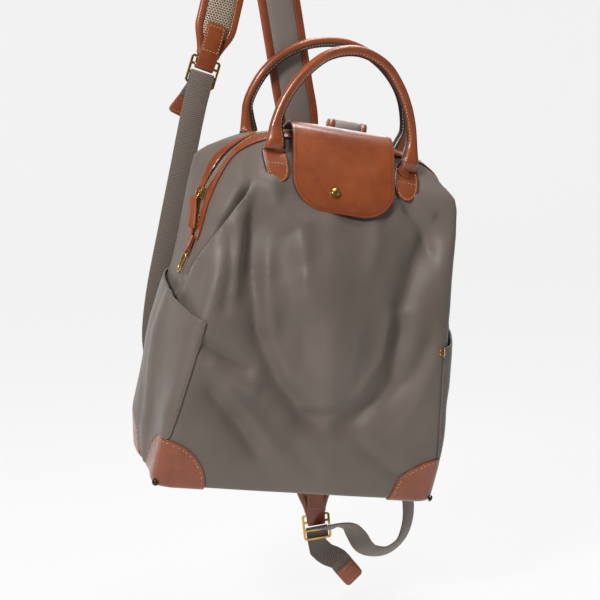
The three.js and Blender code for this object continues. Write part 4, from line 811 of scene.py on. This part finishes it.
# The zip runs at this depth, in a slot of this half width, down to this height on both sides
ZIP_AT = 8
SLOT = 4.5
ZIP_END = 235
# Folds of the cloth: places on the front (across, up), how wide each is and how far out it goes
FOLDS = [
    ([(-88, 300), (-86, 250), (-83, 215), (-69, 161), (-41, 115), (-10, 84), (17, 72)], 13, -10.0),
    ([(98, 285), (84, 240), (73, 198), (74, 127), (42, 83), (17, 72)], 12, -7.5),
    ([(-80, 312), (-70, 282), (-44, 262), (-34, 220), (-30, 170)], 13, 7.0),
    ([(-72, 250), (-68, 196), (-50, 144), (-20, 104)], 8, 4.6),
    ([(-126, 148), (-94, 133), (-67, 119)], 7, -4.4),
    ([(-118, 128), (-90, 118), (-58, 104)], 7, 3.6),
    ([(-114, 105), (-79, 73), (-45, 33)], 8, -4.8),
    ([(-100, 112), (-66, 80), (-28, 42)], 8, 3.2),
    ([(65, 301), (78, 288), (92, 273), (104, 240)], 7, -4.6),
    ([(72, 310), (88, 296), (100, 288)], 6, 3.4),
    ([(60, 200), (58, 150), (34, 105)], 9, 4.2),
    ([(-14, 310), (-10, 200), (6, 118), (17, 86)], 28, 8.0),
    ([(-38, 220), (-26, 160), (-4, 110)], 9, -2.4),
    ([(112, 190), (98, 140), (66, 92)], 9, -3.4),
    ([(120, 170), (106, 112), (80, 62)], 9, 2.6),
    ([(40, 66), (80, 40), (112, 22)], 8, -2.6),
    ([(-20, 60), (-4, 36), (20, 20)], 10, -2.2),
    ([(-112, 258), (-104, 215), (-106, 170)], 7, -3.4),
    ([(-98, 262), (-97, 220), (-98, 180)], 6, 2.8),
    ([(30, 300), (36, 262), (30, 225)], 11, 2.8),
]
FOLD_GAIN = 1.3
BACK_FOLDS = [
    ([(-70, 260), (-50, 200), (-60, 130)], 12, -2.4),
    ([(60, 262), (40, 210), (52, 140)], 12, -2.6),
    ([(-100, 120), (-60, 90), (-20, 84)], 10, -2.2),
    ([(96, 130), (60, 94), (22, 88)], 10, -2.0),
    ([(-6, 250), (4, 180), (-4, 110)], 16, 2.4),
    ([(-90, 60), (-40, 42), (10, 48)], 10, 1.6),
]


# Sharp creases where the front cloth laps over the side: their places, how wide and how deep the
# cloth sinks behind them, and how far the lip of cloth reaches and how high it stands
CREASES = {
    "left": ([(-0.93, -0.12, 0.53), (-0.855, -0.27, 0.58), (-0.775, -0.43, 0.66), (-0.69, -0.52, 0.757),
              (-0.63, -0.56, 0.845)], 5.4, 21.0, 32, 5.6),
    "right": ([(0.96, -0.22, 0.5), (0.9, -0.36, 0.6), (0.86, -0.44, 0.68), (0.835, -0.44, 0.77),
               (0.85, -0.3, 0.84)], 4.0, 8.0, 24, 2.4),
}
creases = [([placed(row) for row in rows], *sizes) for rows, *sizes in CREASES.values()]


def beside(place, points):
    """How far a place is from a line, how far along it as a share, and whether it is behind it."""
    best = None
    for i, (a, b) in enumerate(zip(points, points[1:])):
        run = b - a
        held = min(1, max(0, (place - a).dot(run) / run.length_squared))
        near = a + run * held
        far = (place - near).length
        if best is None or far < best[0]:
            best = (far, (i + held) / (len(points) - 1), place.y > near.y)
    return best


def crease_depth(place):
    """How far the creases sink the cloth at a place, mostly behind the line."""
    total = 0.0
    for points, wide, deep, _, _ in creases:
        if not points[0].z - 20 < place.z < points[-1].z + 20:
            continue
        far, run, behind = beside(place, points)
        if far > 5 * wide:
            continue
        fade = ease(run / 0.2 + 0.1) * ease((1 - run) / 0.2 + 0.1)
        past = far if behind else -far
        total -= deep * fade * math.exp(-(((past - 0.8 * wide) / wide) ** 2))
    return total


def fold_depth(place, lines):
    """How far the folds move the cloth at a place across and up."""
    total = 0.0
    x, z = place
    for points, wide, rise in lines:
        reach = 2.4 * wide
        across = [p[0] for p in points]
        up = [p[1] for p in points]
        if not (min(across) - reach < x < max(across) + reach and min(up) - reach < z < max(up) + reach):
            continue
        best = None
        pieces = len(points) - 1
        for i in range(pieces):
            (ax, az), (bx, bz) = points[i], points[i + 1]
            dx, dz = bx - ax, bz - az
            share = ((x - ax) * dx + (z - az) * dz) / (dx * dx + dz * dz)
            held = min(1, max(0, share))
            far = math.hypot(x - ax - dx * held, z - az - dz * held)
            if best is None or far < best[0]:
                best = (far, (i + held) / pieces)
        far, run = best
        fade = ease(run / 0.22 + 0.25) * ease((1 - run) / 0.22 + 0.2)
        total += rise * fade * math.exp(-((far / wide) ** 1.6))
    return total


CLOTH_SQUARE = 2.8


def body_surface():
    """The bag's outer cloth as one closed skin, shut over the zip."""
    bm = cad_copy("bag_body")
    walls = [f for f in bm.faces
             if all(abs(v.co.y - ZIP_AT) < SLOT + 0.12 and v.co.z > ZIP_END - 2 for v in f.verts)]
    bmesh.ops.delete(bm, geom=walls, context="FACES")
    lowest = min(bm.verts, key=lambda v: v.co.z)
    outer = {lowest}
    front = [lowest]
    while front:
        v = front.pop()
        for e in v.link_edges:
            other = e.other_vert(v)
            if other not in outer:
                outer.add(other)
                front.append(other)
    bmesh.ops.delete(bm, geom=[v for v in bm.verts if v not in outer], context="VERTS")
    for e in [e for e in bm.edges if e.is_boundary]:
        for v in e.verts:
            v.co.y = ZIP_AT
    bmesh.ops.remove_doubles(bm, verts=bm.verts, dist=0.4)
    bm = remeshed(bm, CLOTH_SQUARE)
    smoothed(bm, 6)
    return bm


# How far the cloth's slack and its small crumples move it
SLACK = 1.8
CRUMPLE = 0.35


def drape(bm):
    """Works the folds and the slack of the cloth into the body."""
    bm.normal_update()
    steps = []
    for v in bm.verts:
        n = v.normal
        x, y, z = v.co
        slack = noise.noise(Vector((x, y * 0.8, z)) * 0.02) * SLACK
        crumple = noise.noise(Vector((x + z * 0.6, y, z * 0.8 - x * 0.5)) * 0.055) * CRUMPLE
        between = ease((z - 16) / 40) * ease((345 - z) / 50)
        move = (slack + crumple) * between + crease_depth(v.co)
        facing = ease((abs(n.y) - 0.25) / 0.35)
        if facing > 0 and n.y < 0:
            move += FOLD_GAIN * fold_depth((x, z), FOLDS) * facing
        elif facing > 0:
            move += fold_depth((x, z), BACK_FOLDS) * facing
        steps.append((v, n * move))
    for v, step in steps:
        v.co += step
    smoothed(bm, 1)


SLOT_DEPTH = 1.2


def press_slot(bm):
    """Sinks the strip under the zip."""
    bm.normal_update()
    steps = []
    low = ZIP_END - 7
    for v in bm.verts:
        if v.co.z > low:
            near = ease((SLOT + 2.4 - abs(v.co.y - ZIP_AT)) / 3.0) * ease((v.co.z - low) / 8)
            steps.append((v, v.normal * -SLOT_DEPTH * near))
    for v, step in steps:
        v.co += step


body_mesh = body_surface()
drape(body_mesh)


def on_body(region, stand=lambda p: GAP):
    """A copy of part of the cloth's surface, moved out from it."""
    bm = body_mesh.copy()
    bm.normal_update()
    cut_by(bm, region)
    moved_out(bm, stand)
    return bm


def rim_lines(bm, inset):
    """Lines just inside the open edge of a sheet, for its stitches."""
    bm.normal_update()
    rims = [e for e in bm.edges if e.is_boundary]
    lines = []
    for e in rims:
        a, b = e.verts
        middle = (a.co + b.co) / 2
        inward = e.link_faces[0].calc_center_median() - middle
        run = (b.co - a.co).normalized()
        inward = (inward - run * inward.dot(run)).normalized()
        out = (a.normal + b.normal).normalized()
        lines.append((middle + inward * inset + out * 1.7, run, out))
    return lines


def spaced(spots, pitch):
    """Thins a cloud of stitches to an even pitch."""
    kept = []
    for spot in spots:
        if all((spot[0] - other[0]).length > pitch for other in kept):
            kept.append(spot)
    return kept


# Leather and cloth sewn to the body, and the edge that is rounded on each
PATCH_THICK = 1.6
PATCH_SEAM = 3.0
PATCH_PITCH = 3.2
CLOTH_EDGE = 0.4
LEATHER_EDGE = 0.5


def lap_region(points, reach):
    def outside(p):
        far, run, behind = beside(p, points)
        return max(far if behind else -far, far - reach, (0.02 - run) * 60, (run - 0.98) * 60)
    return outside


def lap_stand(points, reach, high):
    """How far the lip stands off. Its far edge goes in under the cloth."""
    def stand(p):
        far, run, _ = beside(p, points)
        ends = ease(run / 0.3) * ease((1 - run) / 0.3)
        return high * ends * max(0, 1 - far / reach) ** 2.5 - PATCH_THICK - GAP / 2
    return stand


for name, (points, _, _, reach, high) in zip(CREASES, creases):
    lip = on_body(lap_region(points, reach), lap_stand(points, reach, high))
    thicken(finished(name + "_crease_lap", lip, [NYLON], "nylon"), PATCH_THICK, CLOTH_EDGE)

CORNER_POINTS = {
    "front_left": Vector((-146.4, -64, 0)),
    "front_right": Vector((145, -64, 0)),
    "back_left": Vector((-147.9, 64, 0)),
    "back_right": Vector((146.4, 64, 0)),
}
CORNER_REACH = 49
patch_stitches = []
for corner, point in CORNER_POINTS.items():
    patch = on_body(lambda p: (p - point).length - CORNER_REACH)
    patch_stitches += spaced(rim_lines(patch, PATCH_SEAM), PATCH_PITCH)
    piece = finished("corner_leather_" + corner, patch, [LEATHER], "leather", "corner_patch_" + corner)
    thicken(piece, PATCH_THICK, LEATHER_EDGE)

# A side pocket: its lower edge, its mouth at the front and at the back, its back seam, its front seam
# above the corner patch and at the mouth, and how far it stands off at the mouth
POCKET_LOW = 9
POCKET_MOUTH = (166, 190)
POCKET_BACK = 61.4
POCKET_SEAM = (139, 121)
POCKET_SEAM_FROM = 47
POCKET_BULGE = 8


def pocket_region(side):
    low, high = POCKET_MOUTH

    def outside(p):
        mouth = mix(low, high, (p.y + HALF_DEPTH) / (2 * HALF_DEPTH))
        up = min(1, max(0, (p.z - POCKET_SEAM_FROM) / (low - POCKET_SEAM_FROM)))
        seam = mix(*POCKET_SEAM, up) if p.y < 0 else 60
        corner_gap = min((p - c).length for c in CORNER_POINTS.values())
        return max(seam - p.x * side, POCKET_LOW - p.z, p.z - mouth, p.y - POCKET_BACK,
                   CORNER_REACH + GAP - corner_gap)
    return outside


def pocket_stand(p):
    around = min(1, max(0, (p.y + 69.3) / 129.4))
    rise = ease((p.z - POCKET_LOW) / (POCKET_MOUTH[0] - POCKET_LOW))
    return GAP + POCKET_BULGE * math.sin(math.pi * around) ** 0.8 * rise ** 1.3


pocket_stitches = []
for hand, side in (("left", -1), ("right", 1)):
    sheet = on_body(pocket_region(side), pocket_stand)
    pocket_stitches += spaced([s for s in rim_lines(sheet, 2.4) if s[0].z > 14 and s[0].y < 55], 3.4)
    piece = finished(hand + "_pocket_cloth", sheet, [NYLON], "nylon", hand + "_pocket")
    thicken(piece, PATCH_THICK, CLOTH_EDGE)


# The leather bands lap over the slot, so that little more than the teeth shows between them
BAND_NEAR = 2.4
BAND_FAR = SLOT + 5
for name, side in (("front", -1), ("back", 1)):
    def band_region(p):
        aside = (p.y - ZIP_AT) * side
        return max(BAND_NEAR - aside, aside - BAND_FAR, ZIP_END - 4 - p.z)

    band = on_body(band_region)
    piece = finished("zip_leather_" + name, band, [LEATHER], "leather", "zip_edging_" + name)
    thicken(piece, PATCH_THICK, CLOTH_EDGE)

# The piece at the top of the back that the straps are sewn under: half its width, and its heights
ANCHOR_HALF = 46
ANCHOR_LOW = 284
ANCHOR_TOP = 318
anchor = on_body(lambda p: max(abs(p.x) - ANCHOR_HALF, ANCHOR_LOW - p.z, p.z - ANCHOR_TOP, 20 - p.y))
patch_stitches += spaced(rim_lines(anchor, PATCH_SEAM), PATCH_PITCH)
piece = finished("strap_seam_leather", anchor, [LEATHER], "leather", "strap_anchor")
thicken(piece, PATCH_THICK, LEATHER_EDGE)

SLEEVE_ROOM = 4.0
for hand, side in (("left", -1), ("right", 1)):
    def sleeve_region(p):
        aside = abs(p.x - side * SLEEVE_ASIDE)
        return max(aside - SLEEVE_HALF, SLEEVE_LOW - p.z, p.z - SLEEVE_TOP, 20 - p.y)

    def sleeve_stand(p):
        aside = ease((SLEEVE_HALF - abs(p.x - side * SLEEVE_ASIDE)) / 4.5)
        top = ease((SLEEVE_TOP - p.z) / 9)
        return GAP + SLEEVE_ROOM * aside * top

    sheet = on_body(sleeve_region, sleeve_stand)
    rim = [stitch for stitch in rim_lines(sheet, 2.6) if stitch[0].z > SLEEVE_LOW + 3]
    patch_stitches += spaced(rim, PATCH_PITCH)
    piece = finished(hand + "_sleeve_leather", sheet, [LEATHER], "leather", hand + "_lower_anchor")
    thicken(piece, PATCH_THICK, LEATHER_EDGE)

thread = bmesh.new()
add_stitches(thread, pocket_stitches)
finished("pocket_stitching", thread, [WEBBING], "nylon")
thread = bmesh.new()
add_stitches(thread, patch_stitches)
finished("patch_stitching", thread, [THREAD], "leather")

# Zip

# The zip's way over the top, as shares of half width and of height
ZIP_LINE = [
    (-0.875, 0.668), (-0.873, 0.724), (-0.868, 0.781), (-0.848, 0.813), (-0.793, 0.861), (-0.724, 0.906),
    (-0.648, 0.943), (-0.56, 0.967), (-0.4, 0.986), (-0.2, 1), (0.2, 1), (0.42, 0.986), (0.62, 0.967),
    (0.7, 0.943), (0.76, 0.906), (0.815, 0.861), (0.875, 0.8), (0.92, 0.73), (0.96, 0.668),
]
TOOTH_PITCH = 2.3
zip_rows = [placed((out, ZIP_AT / HALF_DEPTH, up)) for out, up in ZIP_LINE]
zip_points = [smooth_point(zip_rows, i / 400) for i in range(401)]


teeth = bmesh.new()
for number, (at, forward, _) in enumerate(even_places(zip_points, TOOTH_PITCH)):
    out = forward.cross(Y).normalized()
    side = 1 if number % 2 else -1
    turn = Matrix((forward, Y, out)).transposed().to_4x4()
    centre = at + Y * side * 0.6 + out * 1.5
    tooth = Matrix.Translation(centre) @ turn @ Matrix.Diagonal((1.5, 3.0, 1.5, 1))
    bmesh.ops.create_cube(teeth, size=1, matrix=tooth)
finished("zip_teeth", teeth, [TEETH], "teeth", "zip_chain")
tape_stations = [Station(at, Y, forward.cross(Y).normalized())
                 for at, forward, _ in even_places(zip_points, 6)]
finished("zip_tape", strip(tape_stations, lambda s: [(x, y + 0.2) for x, y in rounded_bar(8.2, 0.8, 0.3)]),
         [STRAP_NYLON], "nylon")

# Rings, pull and their leather

RING_FRAMES = {
    "left": (Vector((-134.5, 8, 216.9)), Vector((0.247, 0, 0.969)), Vector((-0.969, 0, 0.247))),
    "right": (Vector((146.8, 8, 216.4)), Vector((-0.117, 0, 0.993)), Vector((0.993, 0, 0.117))),
}
small_stitches = bmesh.new()
for hand, (bar, away, face) in RING_FRAMES.items():
    stations = fold_round(bar, Y, face, away, 1.25 + GAP + 0.7, (17.5, 17.5), 0.85)
    loop = strip(stations, lambda s: rounded_bar(8.8, 1.4, 0.6))
    finished(hand + "_ring_leather", loop, [LEATHER], "leather",
             hand + "_ring_tab")
    for x in (-3, 3):
        line = [bar + away * d + face * 1.65 + Y * x for d in (5, 9, 13, 16.5)]
        stitch_run(small_stitches, line, [face] * 4, 2.4, length=1.6, thick=0.6)
LINK_END = Vector((-134.4, 8, 270.1))
pull_away = Vector((0.06, 0, -1)).normalized()
pull_across = Vector((0.6, -0.8, 0)).normalized()
pull_face = pull_across.cross(pull_away).normalized()
stations = fold_round(LINK_END, pull_across, pull_face, pull_away, 0.75 + 2 * GAP + 0.75, (29, 29), 0.9)
pull_tab = strip(stations, lambda s: rounded_bar(9, 1.5, 0.65))
finished("pull_tab_leather", pull_tab, [LEATHER], "leather", "zip_pull_tab")
for sign in (1, -1):
    for x in (-3, 3):
        line = [LINK_END + pull_away * far + pull_face * sign * 1.7 + pull_across * x
                for far in (5, 12, 20, 27)]
        stitch_run(small_stitches, line, [pull_face * sign] * 4, 2.6, length=1.7, thick=0.6)
finished("small_stitching", small_stitches, [THREAD], "leather")

# Carrying handles

HANDLES = {
    "front": {
        "side": -1,
        "top": (0, -0.15, 1.243),
        "rows": [(0.49, -0.27, 0.966), (0.495, -0.2, 1.0), (0.485, -0.17, 1.04), (0.43, -0.15, 1.105),
                 (0.34, -0.15, 1.165), (0.2, -0.15, 1.22)],
        "tab": (67.1, 301),
    },
    "back": {
        "side": 1,
        "top": (0, 0.76, 1.268),
        "rows": [(0.565, 0.79, 0.972), (0.585, 0.81, 1.01), (0.6, 0.8, 1.05), (0.53, 0.77, 1.14),
                 (0.4, 0.76, 1.205), (0.22, 0.76, 1.25)],
        "tab": (78.3, 305.5),
    },
}
# Along a handle's tab, from its tip: how far up, and how wide as a share. The tabs lean apart
TAB_RISES = (0, 1.8, 5.8, 12.2, 20.3, 27.8)
TAB_WIDTHS = (0.16, 0.5, 0.82, 0.98, 1, 0.92)
TAB_SPLAY = 0.13
TAB = 26
TAB_THICK = 2.4
TUBE = 9.5
SECTION_POINTS = 24


def handle_controls(spec, hand):
    """Places, faces and sizes (wide, thick, squareness) from the tip of a tab to the loop's top."""
    controls = []
    x, z = spec["tab"]
    for rise, wide in zip(TAB_RISES, TAB_WIDTHS):
        at, out = seat(hand * (x + TAB_SPLAY * rise), z + rise, spec["side"])
        at += out * (GAP + TAB_THICK / 2)
        controls.append((at, out, Vector((wide * TAB, TAB_THICK, 5))))
    flare_at = controls[-1][0] + controls[-1][1] * 2.55 + Z
    controls.append((flare_at, controls[-1][1], Vector((20, 7.5, 2.6))))
    for i, row in enumerate(spec["rows"]):
        at = placed((hand * row[0], row[1], row[2]))
        wide = (17.2, 12.4)[i] if i < 2 else TUBE
        controls.append((at, Y * spec["side"], Vector((wide, TUBE, 2.2 if i < 2 else 2))))
    return controls


def carrying_handle(name):
    """One loop of rolled leather with a sewn seam on its inner side and a flat tab at either end."""
    spec = HANDLES[name]
    side = spec["side"]
    top = (placed(spec["top"]), Y * side, Vector((TUBE, TUBE, 2)))
    controls = handle_controls(spec, -1) + [top] + handle_controls(spec, 1)[::-1]
    count = (len(controls) - 1) * 9
    ats, faces, sizes = (list(column) for column in zip(*controls))
    stations = []
    sizes_at = []
    for i in range(count + 1):
        t = i / count
        at = smooth_point(ats, t)
        ahead, behind = smooth_point(ats, min(1, t + 0.002)), smooth_point(ats, max(0, t - 0.002))
        forward = (ahead - behind).normalized()
        face = smooth_point(faces, t, 0.4)
        face = (face - forward * face.dot(forward)).normalized()
        stations.append(Station(at, forward.cross(face), face, float(i)))
        sizes_at.append(smooth_point(sizes, t))
    seam = 0 if side < 0 else SECTION_POINTS // 2

    def section(station):
        wide, thick, power = sizes_at[int(station.far)]
        wide, thick, power = max(wide, 2), max(thick, 2), min(6, max(1.9, power))
        rolled = ease((thick - 5) / 3)
        pairs = []
        for k in range(SECTION_POINTS):
            angle = 2 * math.pi * k / SECTION_POINTS
            c, s = math.cos(angle), math.sin(angle)
            grow = 1.3 * rolled if k == seam else 0
            a = math.copysign(abs(c) ** (2 / power), c) * (wide / 2 + grow)
            b = math.copysign(abs(s) ** (2 / power), s) * thick / 2
            pairs.append((a, b))
        return pairs

    bm = strip(stations, section)
    # The cut edges of the tabs and the seam are painted dark
    for f in bm.faces:
        middle = f.calc_center_median()
        near = min(stations, key=lambda s: (s.at - middle).length_squared)
        wide, thick, _ = sizes_at[int(near.far)]
        a = (middle - near.at).dot(near.across)
        b = (middle - near.at).dot(near.face)
        flat = thick < 4.5
        if flat and abs(a) > wide / 2 * 0.955 and wide > 8:
            f.material_index = 1
        elif not flat and abs(b) < 1.0 and a * (1 if seam == 0 else -1) > wide * 0.4:
            f.material_index = 1
        elif name == "back" and b < 0 and (thick < 8 or a < -wide * 0.12):
            f.material_index = 1
    finished(name + "_handle_leather", bm, [LEATHER, PAINTED_EDGE], "leather", name + "_handle", sharp=70)
    lines = []
    for hand in (-1, 1):
        ends = stations if hand < 0 else stations[::-1]
        sizes_here = sizes_at if hand < 0 else sizes_at[::-1]
        tab = [(s, size) for s, size in zip(ends[:60], sizes_here[:60]) if size[1] < 5.5 and size[0] > 9]
        for edge in (-1, 1):
            lines.append([(s.point(edge * (size[0] / 2 - 3), size[1] / 2 + 0.1), s.face)
                          for s, size in tab])
        first, size = tab[0]
        row = [(first.point(x * (size[0] / 2 - 3), size[1] / 2 + 0.1), first.face) for x in (-1, 0, 1)]
        lines.append(row)
        if len(tab) > 26:
            cross, size = tab[26]
            lines.append([(cross.point(x * (size[0] / 2 - 3), size[1] / 2 + 0.1), cross.face)
                          for x in (-1, -0.5, 0, 0.5, 1)])
    sign = 1 if seam == 0 else -1
    tube = [(s, size) for s, size in zip(stations, sizes_at) if size[1] > 8]
    for out in (1, -1):
        lines.append([(s.point(sign * size[0] / 2 * 0.72, out * size[1] / 2 * 0.72),
                       (s.face * out + s.across * sign).normalized()) for s, size in tube])
    sewn(name + "_handle_stitching", lines)


carrying_handle("front")
carrying_handle("back")

# Flap over the zip

FLAP_LINE = [(0.84, 0.915), (0.79, 0.94), (0.68, 0.968), (0.5, 0.994), (0.28, 1.017), (0.08, 1.024),
             (-0.13, 1.006), (-0.37, 0.94), (-0.6, 0.868), (-0.77, 0.81), (-0.88, 0.776)]
FLAP_WIDE = 53
FLAP_ROUND = 37
FLAP_THICK = 2.2
# How far the seam is from the flap's edge, and how far its corners curl down
FLAP_SEAM = 3.2
FLAP_CURL = 1.2
flap_points = [placed((0, deep, up)) for deep, up in FLAP_LINE]
flap_run = [smooth_point(flap_points, i / 300) for i in range(301)]
# The flap ends this much before the last point
FLAP_HEM = 9
flap_length = sum((b - a).length for a, b in zip(flap_run, flap_run[1:])) - FLAP_HEM


def flap_stations():
    """Stations along the flap's outer face, closer together towards its rounded end."""
    made = []
    far = 0.0
    wanted = [flap_length * i / 40 for i in range(33)]
    wanted += [flap_length - 0.2 * flap_length * (1 - i / 24) ** 1.6 for i in range(1, 25)]
    for a, b in zip(flap_run, flap_run[1:]):
        span = (b - a).length
        while wanted and wanted[0] <= far + span + 1e-6:
            forward = (b - a).normalized()
            at = a.lerp(b, (wanted[0] - far) / span)
            out = forward.cross(X).normalized()
            made.append(Station(at, X, out, wanted.pop(0)))
        far += span
    return made


# How far from its end the flap starts to be round
FLAP_ROUND_HIGH = 0.95 * FLAP_ROUND


def flap_half(far):
    left = flap_length - far
    high = FLAP_ROUND_HIGH
    if left >= high:
        return FLAP_WIDE
    rest = max(0, 1 - ((high - left) / high) ** 2)
    return FLAP_WIDE - FLAP_ROUND + FLAP_ROUND * rest ** 0.5


def flap_dip(far, share):
    """How far the flap curls down at a share of its half width, towards its end."""
    curl = ease((far - flap_length * 0.55) / (flap_length * 0.45))
    return -FLAP_CURL * curl * abs(share) ** 3


flap_rows = flap_stations()
if flap_rows[2].face.z < 0:
    for row in flap_rows:
        row.face = -row.face


def flap_section(station):
    wide = flap_half(station.far)
    stops = [-1, -0.97, -0.92, -0.8, -0.6, -0.4, -0.2, 0, 0.2, 0.4, 0.6, 0.8, 0.92, 0.97, 1]
    return [(share * wide, flap_dip(station.far, share)) for share in stops]


flap_sheet = strip(flap_rows, flap_section, closed=False)
flap_sheet.normal_update()
if sum(f.normal.z for f in flap_sheet.faces) < 0:
    bmesh.ops.reverse_faces(flap_sheet, faces=flap_sheet.faces)
flap_piece = finished("flap_leather", flap_sheet, [LEATHER, PAINTED_EDGE], "leather", "top_flap")
thicken(flap_piece, FLAP_THICK, 0.5, offset=-1, rim=1)


def seam_place(share):
    """A place on the seam along the flap's edge: straight sides, then rounded corners and the hem."""
    straight = flap_length - FLAP_ROUND_HIGH
    if share < 0.5:
        return straight * share * 2, FLAP_WIDE - FLAP_SEAM
    turn = (share - 0.5) * math.pi
    return (straight + (FLAP_ROUND_HIGH - FLAP_SEAM) * math.sin(turn),
            FLAP_WIDE - FLAP_ROUND + (FLAP_ROUND - FLAP_SEAM) * math.cos(turn))


def on_flap(far, aside):
    """A stitch's place and its outward way on the flap's outer face."""
    after = min(i for i, s in enumerate(flap_rows) if s.far >= far or i == len(flap_rows) - 1)
    a, b = flap_rows[max(0, after - 1)], flap_rows[after]
    share = (far - a.far) / (b.far - a.far) if b.far > a.far else 0
    spots = []
    for station in (a, b):
        dip = flap_dip(station.far, aside / flap_half(station.far))
        spots.append(station.point(aside, 0.15 + dip))
    return spots[0].lerp(spots[1], share), b.face


seam = [seam_place(i / 80) for i in range(81)]
edge = [on_flap(far, aside) for far, aside in seam]
edge += [on_flap(far, -aside) for far, aside in reversed(seam)]
sewn("flap_stitching", [edge], DARK_THREAD)

SNAP_AT = Vector((-10, -43.2, 300))
SNAP_OUT = Vector((0, -0.876, 0.482))


def snap_dome():
    """The snap's cap: a low dome with a rolled rim, seated on the flap."""
    bm = bmesh.new()
    turn = SNAP_OUT.to_track_quat("Z", "Y").to_matrix().to_4x4()
    seat = Matrix.Translation(SNAP_AT) @ turn
    bmesh.ops.create_cone(bm, cap_ends=True, segments=40, radius1=5.3, radius2=5.0, depth=1.2,
                          matrix=seat @ Matrix.Translation((0, 0, 0.4)))
    dome = bmesh.ops.create_uvsphere(bm, u_segments=40, v_segments=20, radius=4.7, matrix=seat)["verts"]
    for v in dome:
        high = (v.co - SNAP_AT).dot(SNAP_OUT)
        v.co -= SNAP_OUT * high * 0.6
    return bm


finished("snap_dome", snap_dome(), [BRASS], "brass", "snap_cap")

# Body last, because the patches are cut from its surface

press_slot(body_mesh)
body = finished("body_cloth", body_mesh, [NYLON], "nylon", "bag_body", sharp=180)

# Fittings that keep their solids

FITTINGS = {
    "zip_slider": (BRASS, 0.4), "zip_link": (BRASS, 0), "left_ring": (BRASS, 0), "right_ring": (BRASS, 0),
    "right_pocket_ring": (BRASS, 0), "snap_post": (BRASS, 0.3),
    "carrying_strap_buckle": (BRASS, 0.5), "hanging_strap_buckle": (BRASS, 0.5),
    "corner_stud_front_left": (DARK_METAL, 0), "corner_stud_front_right": (DARK_METAL, 0),
    "corner_stud_back_left": (DARK_METAL, 0), "corner_stud_back_right": (DARK_METAL, 0),
}
for node, (finish, edge) in FITTINGS.items():
    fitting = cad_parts[node]
    fitting.data.materials.clear()
    fitting.data.materials.append(finish)
    joined = fitting.modifiers.new("joined", "WELD")
    joined.merge_threshold = 0.00002
    if edge:
        soften(fitting, edge, 3, 35)
    else:
        round_off = fitting.modifiers.new("round_off", "SUBSURF")
        round_off.levels = 2
        round_off.render_levels = 2

# Floor and backdrop

floor_height = cad_box[0][2] - 0.004
backdrop = bmesh.new()
profile = [(-0.9, 0), (2.2, 0), (2.7, 0.08), (3.1, 0.3), (3.3, 0.7), (3.35, 1.4), (3.35, 6)]
bmesh.ops.create_grid(backdrop, x_segments=1, y_segments=len(profile) - 1, size=0.5)
for v in backdrop.verts:
    y, z = profile[round((v.co.y + 0.5) * (len(profile) - 1))]
    v.co = Vector((v.co.x * 9, y, z + floor_height))
backdrop_mesh = bpy.data.meshes.new("backdrop")
backdrop.to_mesh(backdrop_mesh)
backdrop.free()
backdrop_mesh.shade_smooth()
backdrop_mesh.materials.append(backdrop_finish())
backdrop_piece = bpy.data.objects.new("backdrop", backdrop_mesh)
bpy.context.scene.collection.objects.link(backdrop_piece)
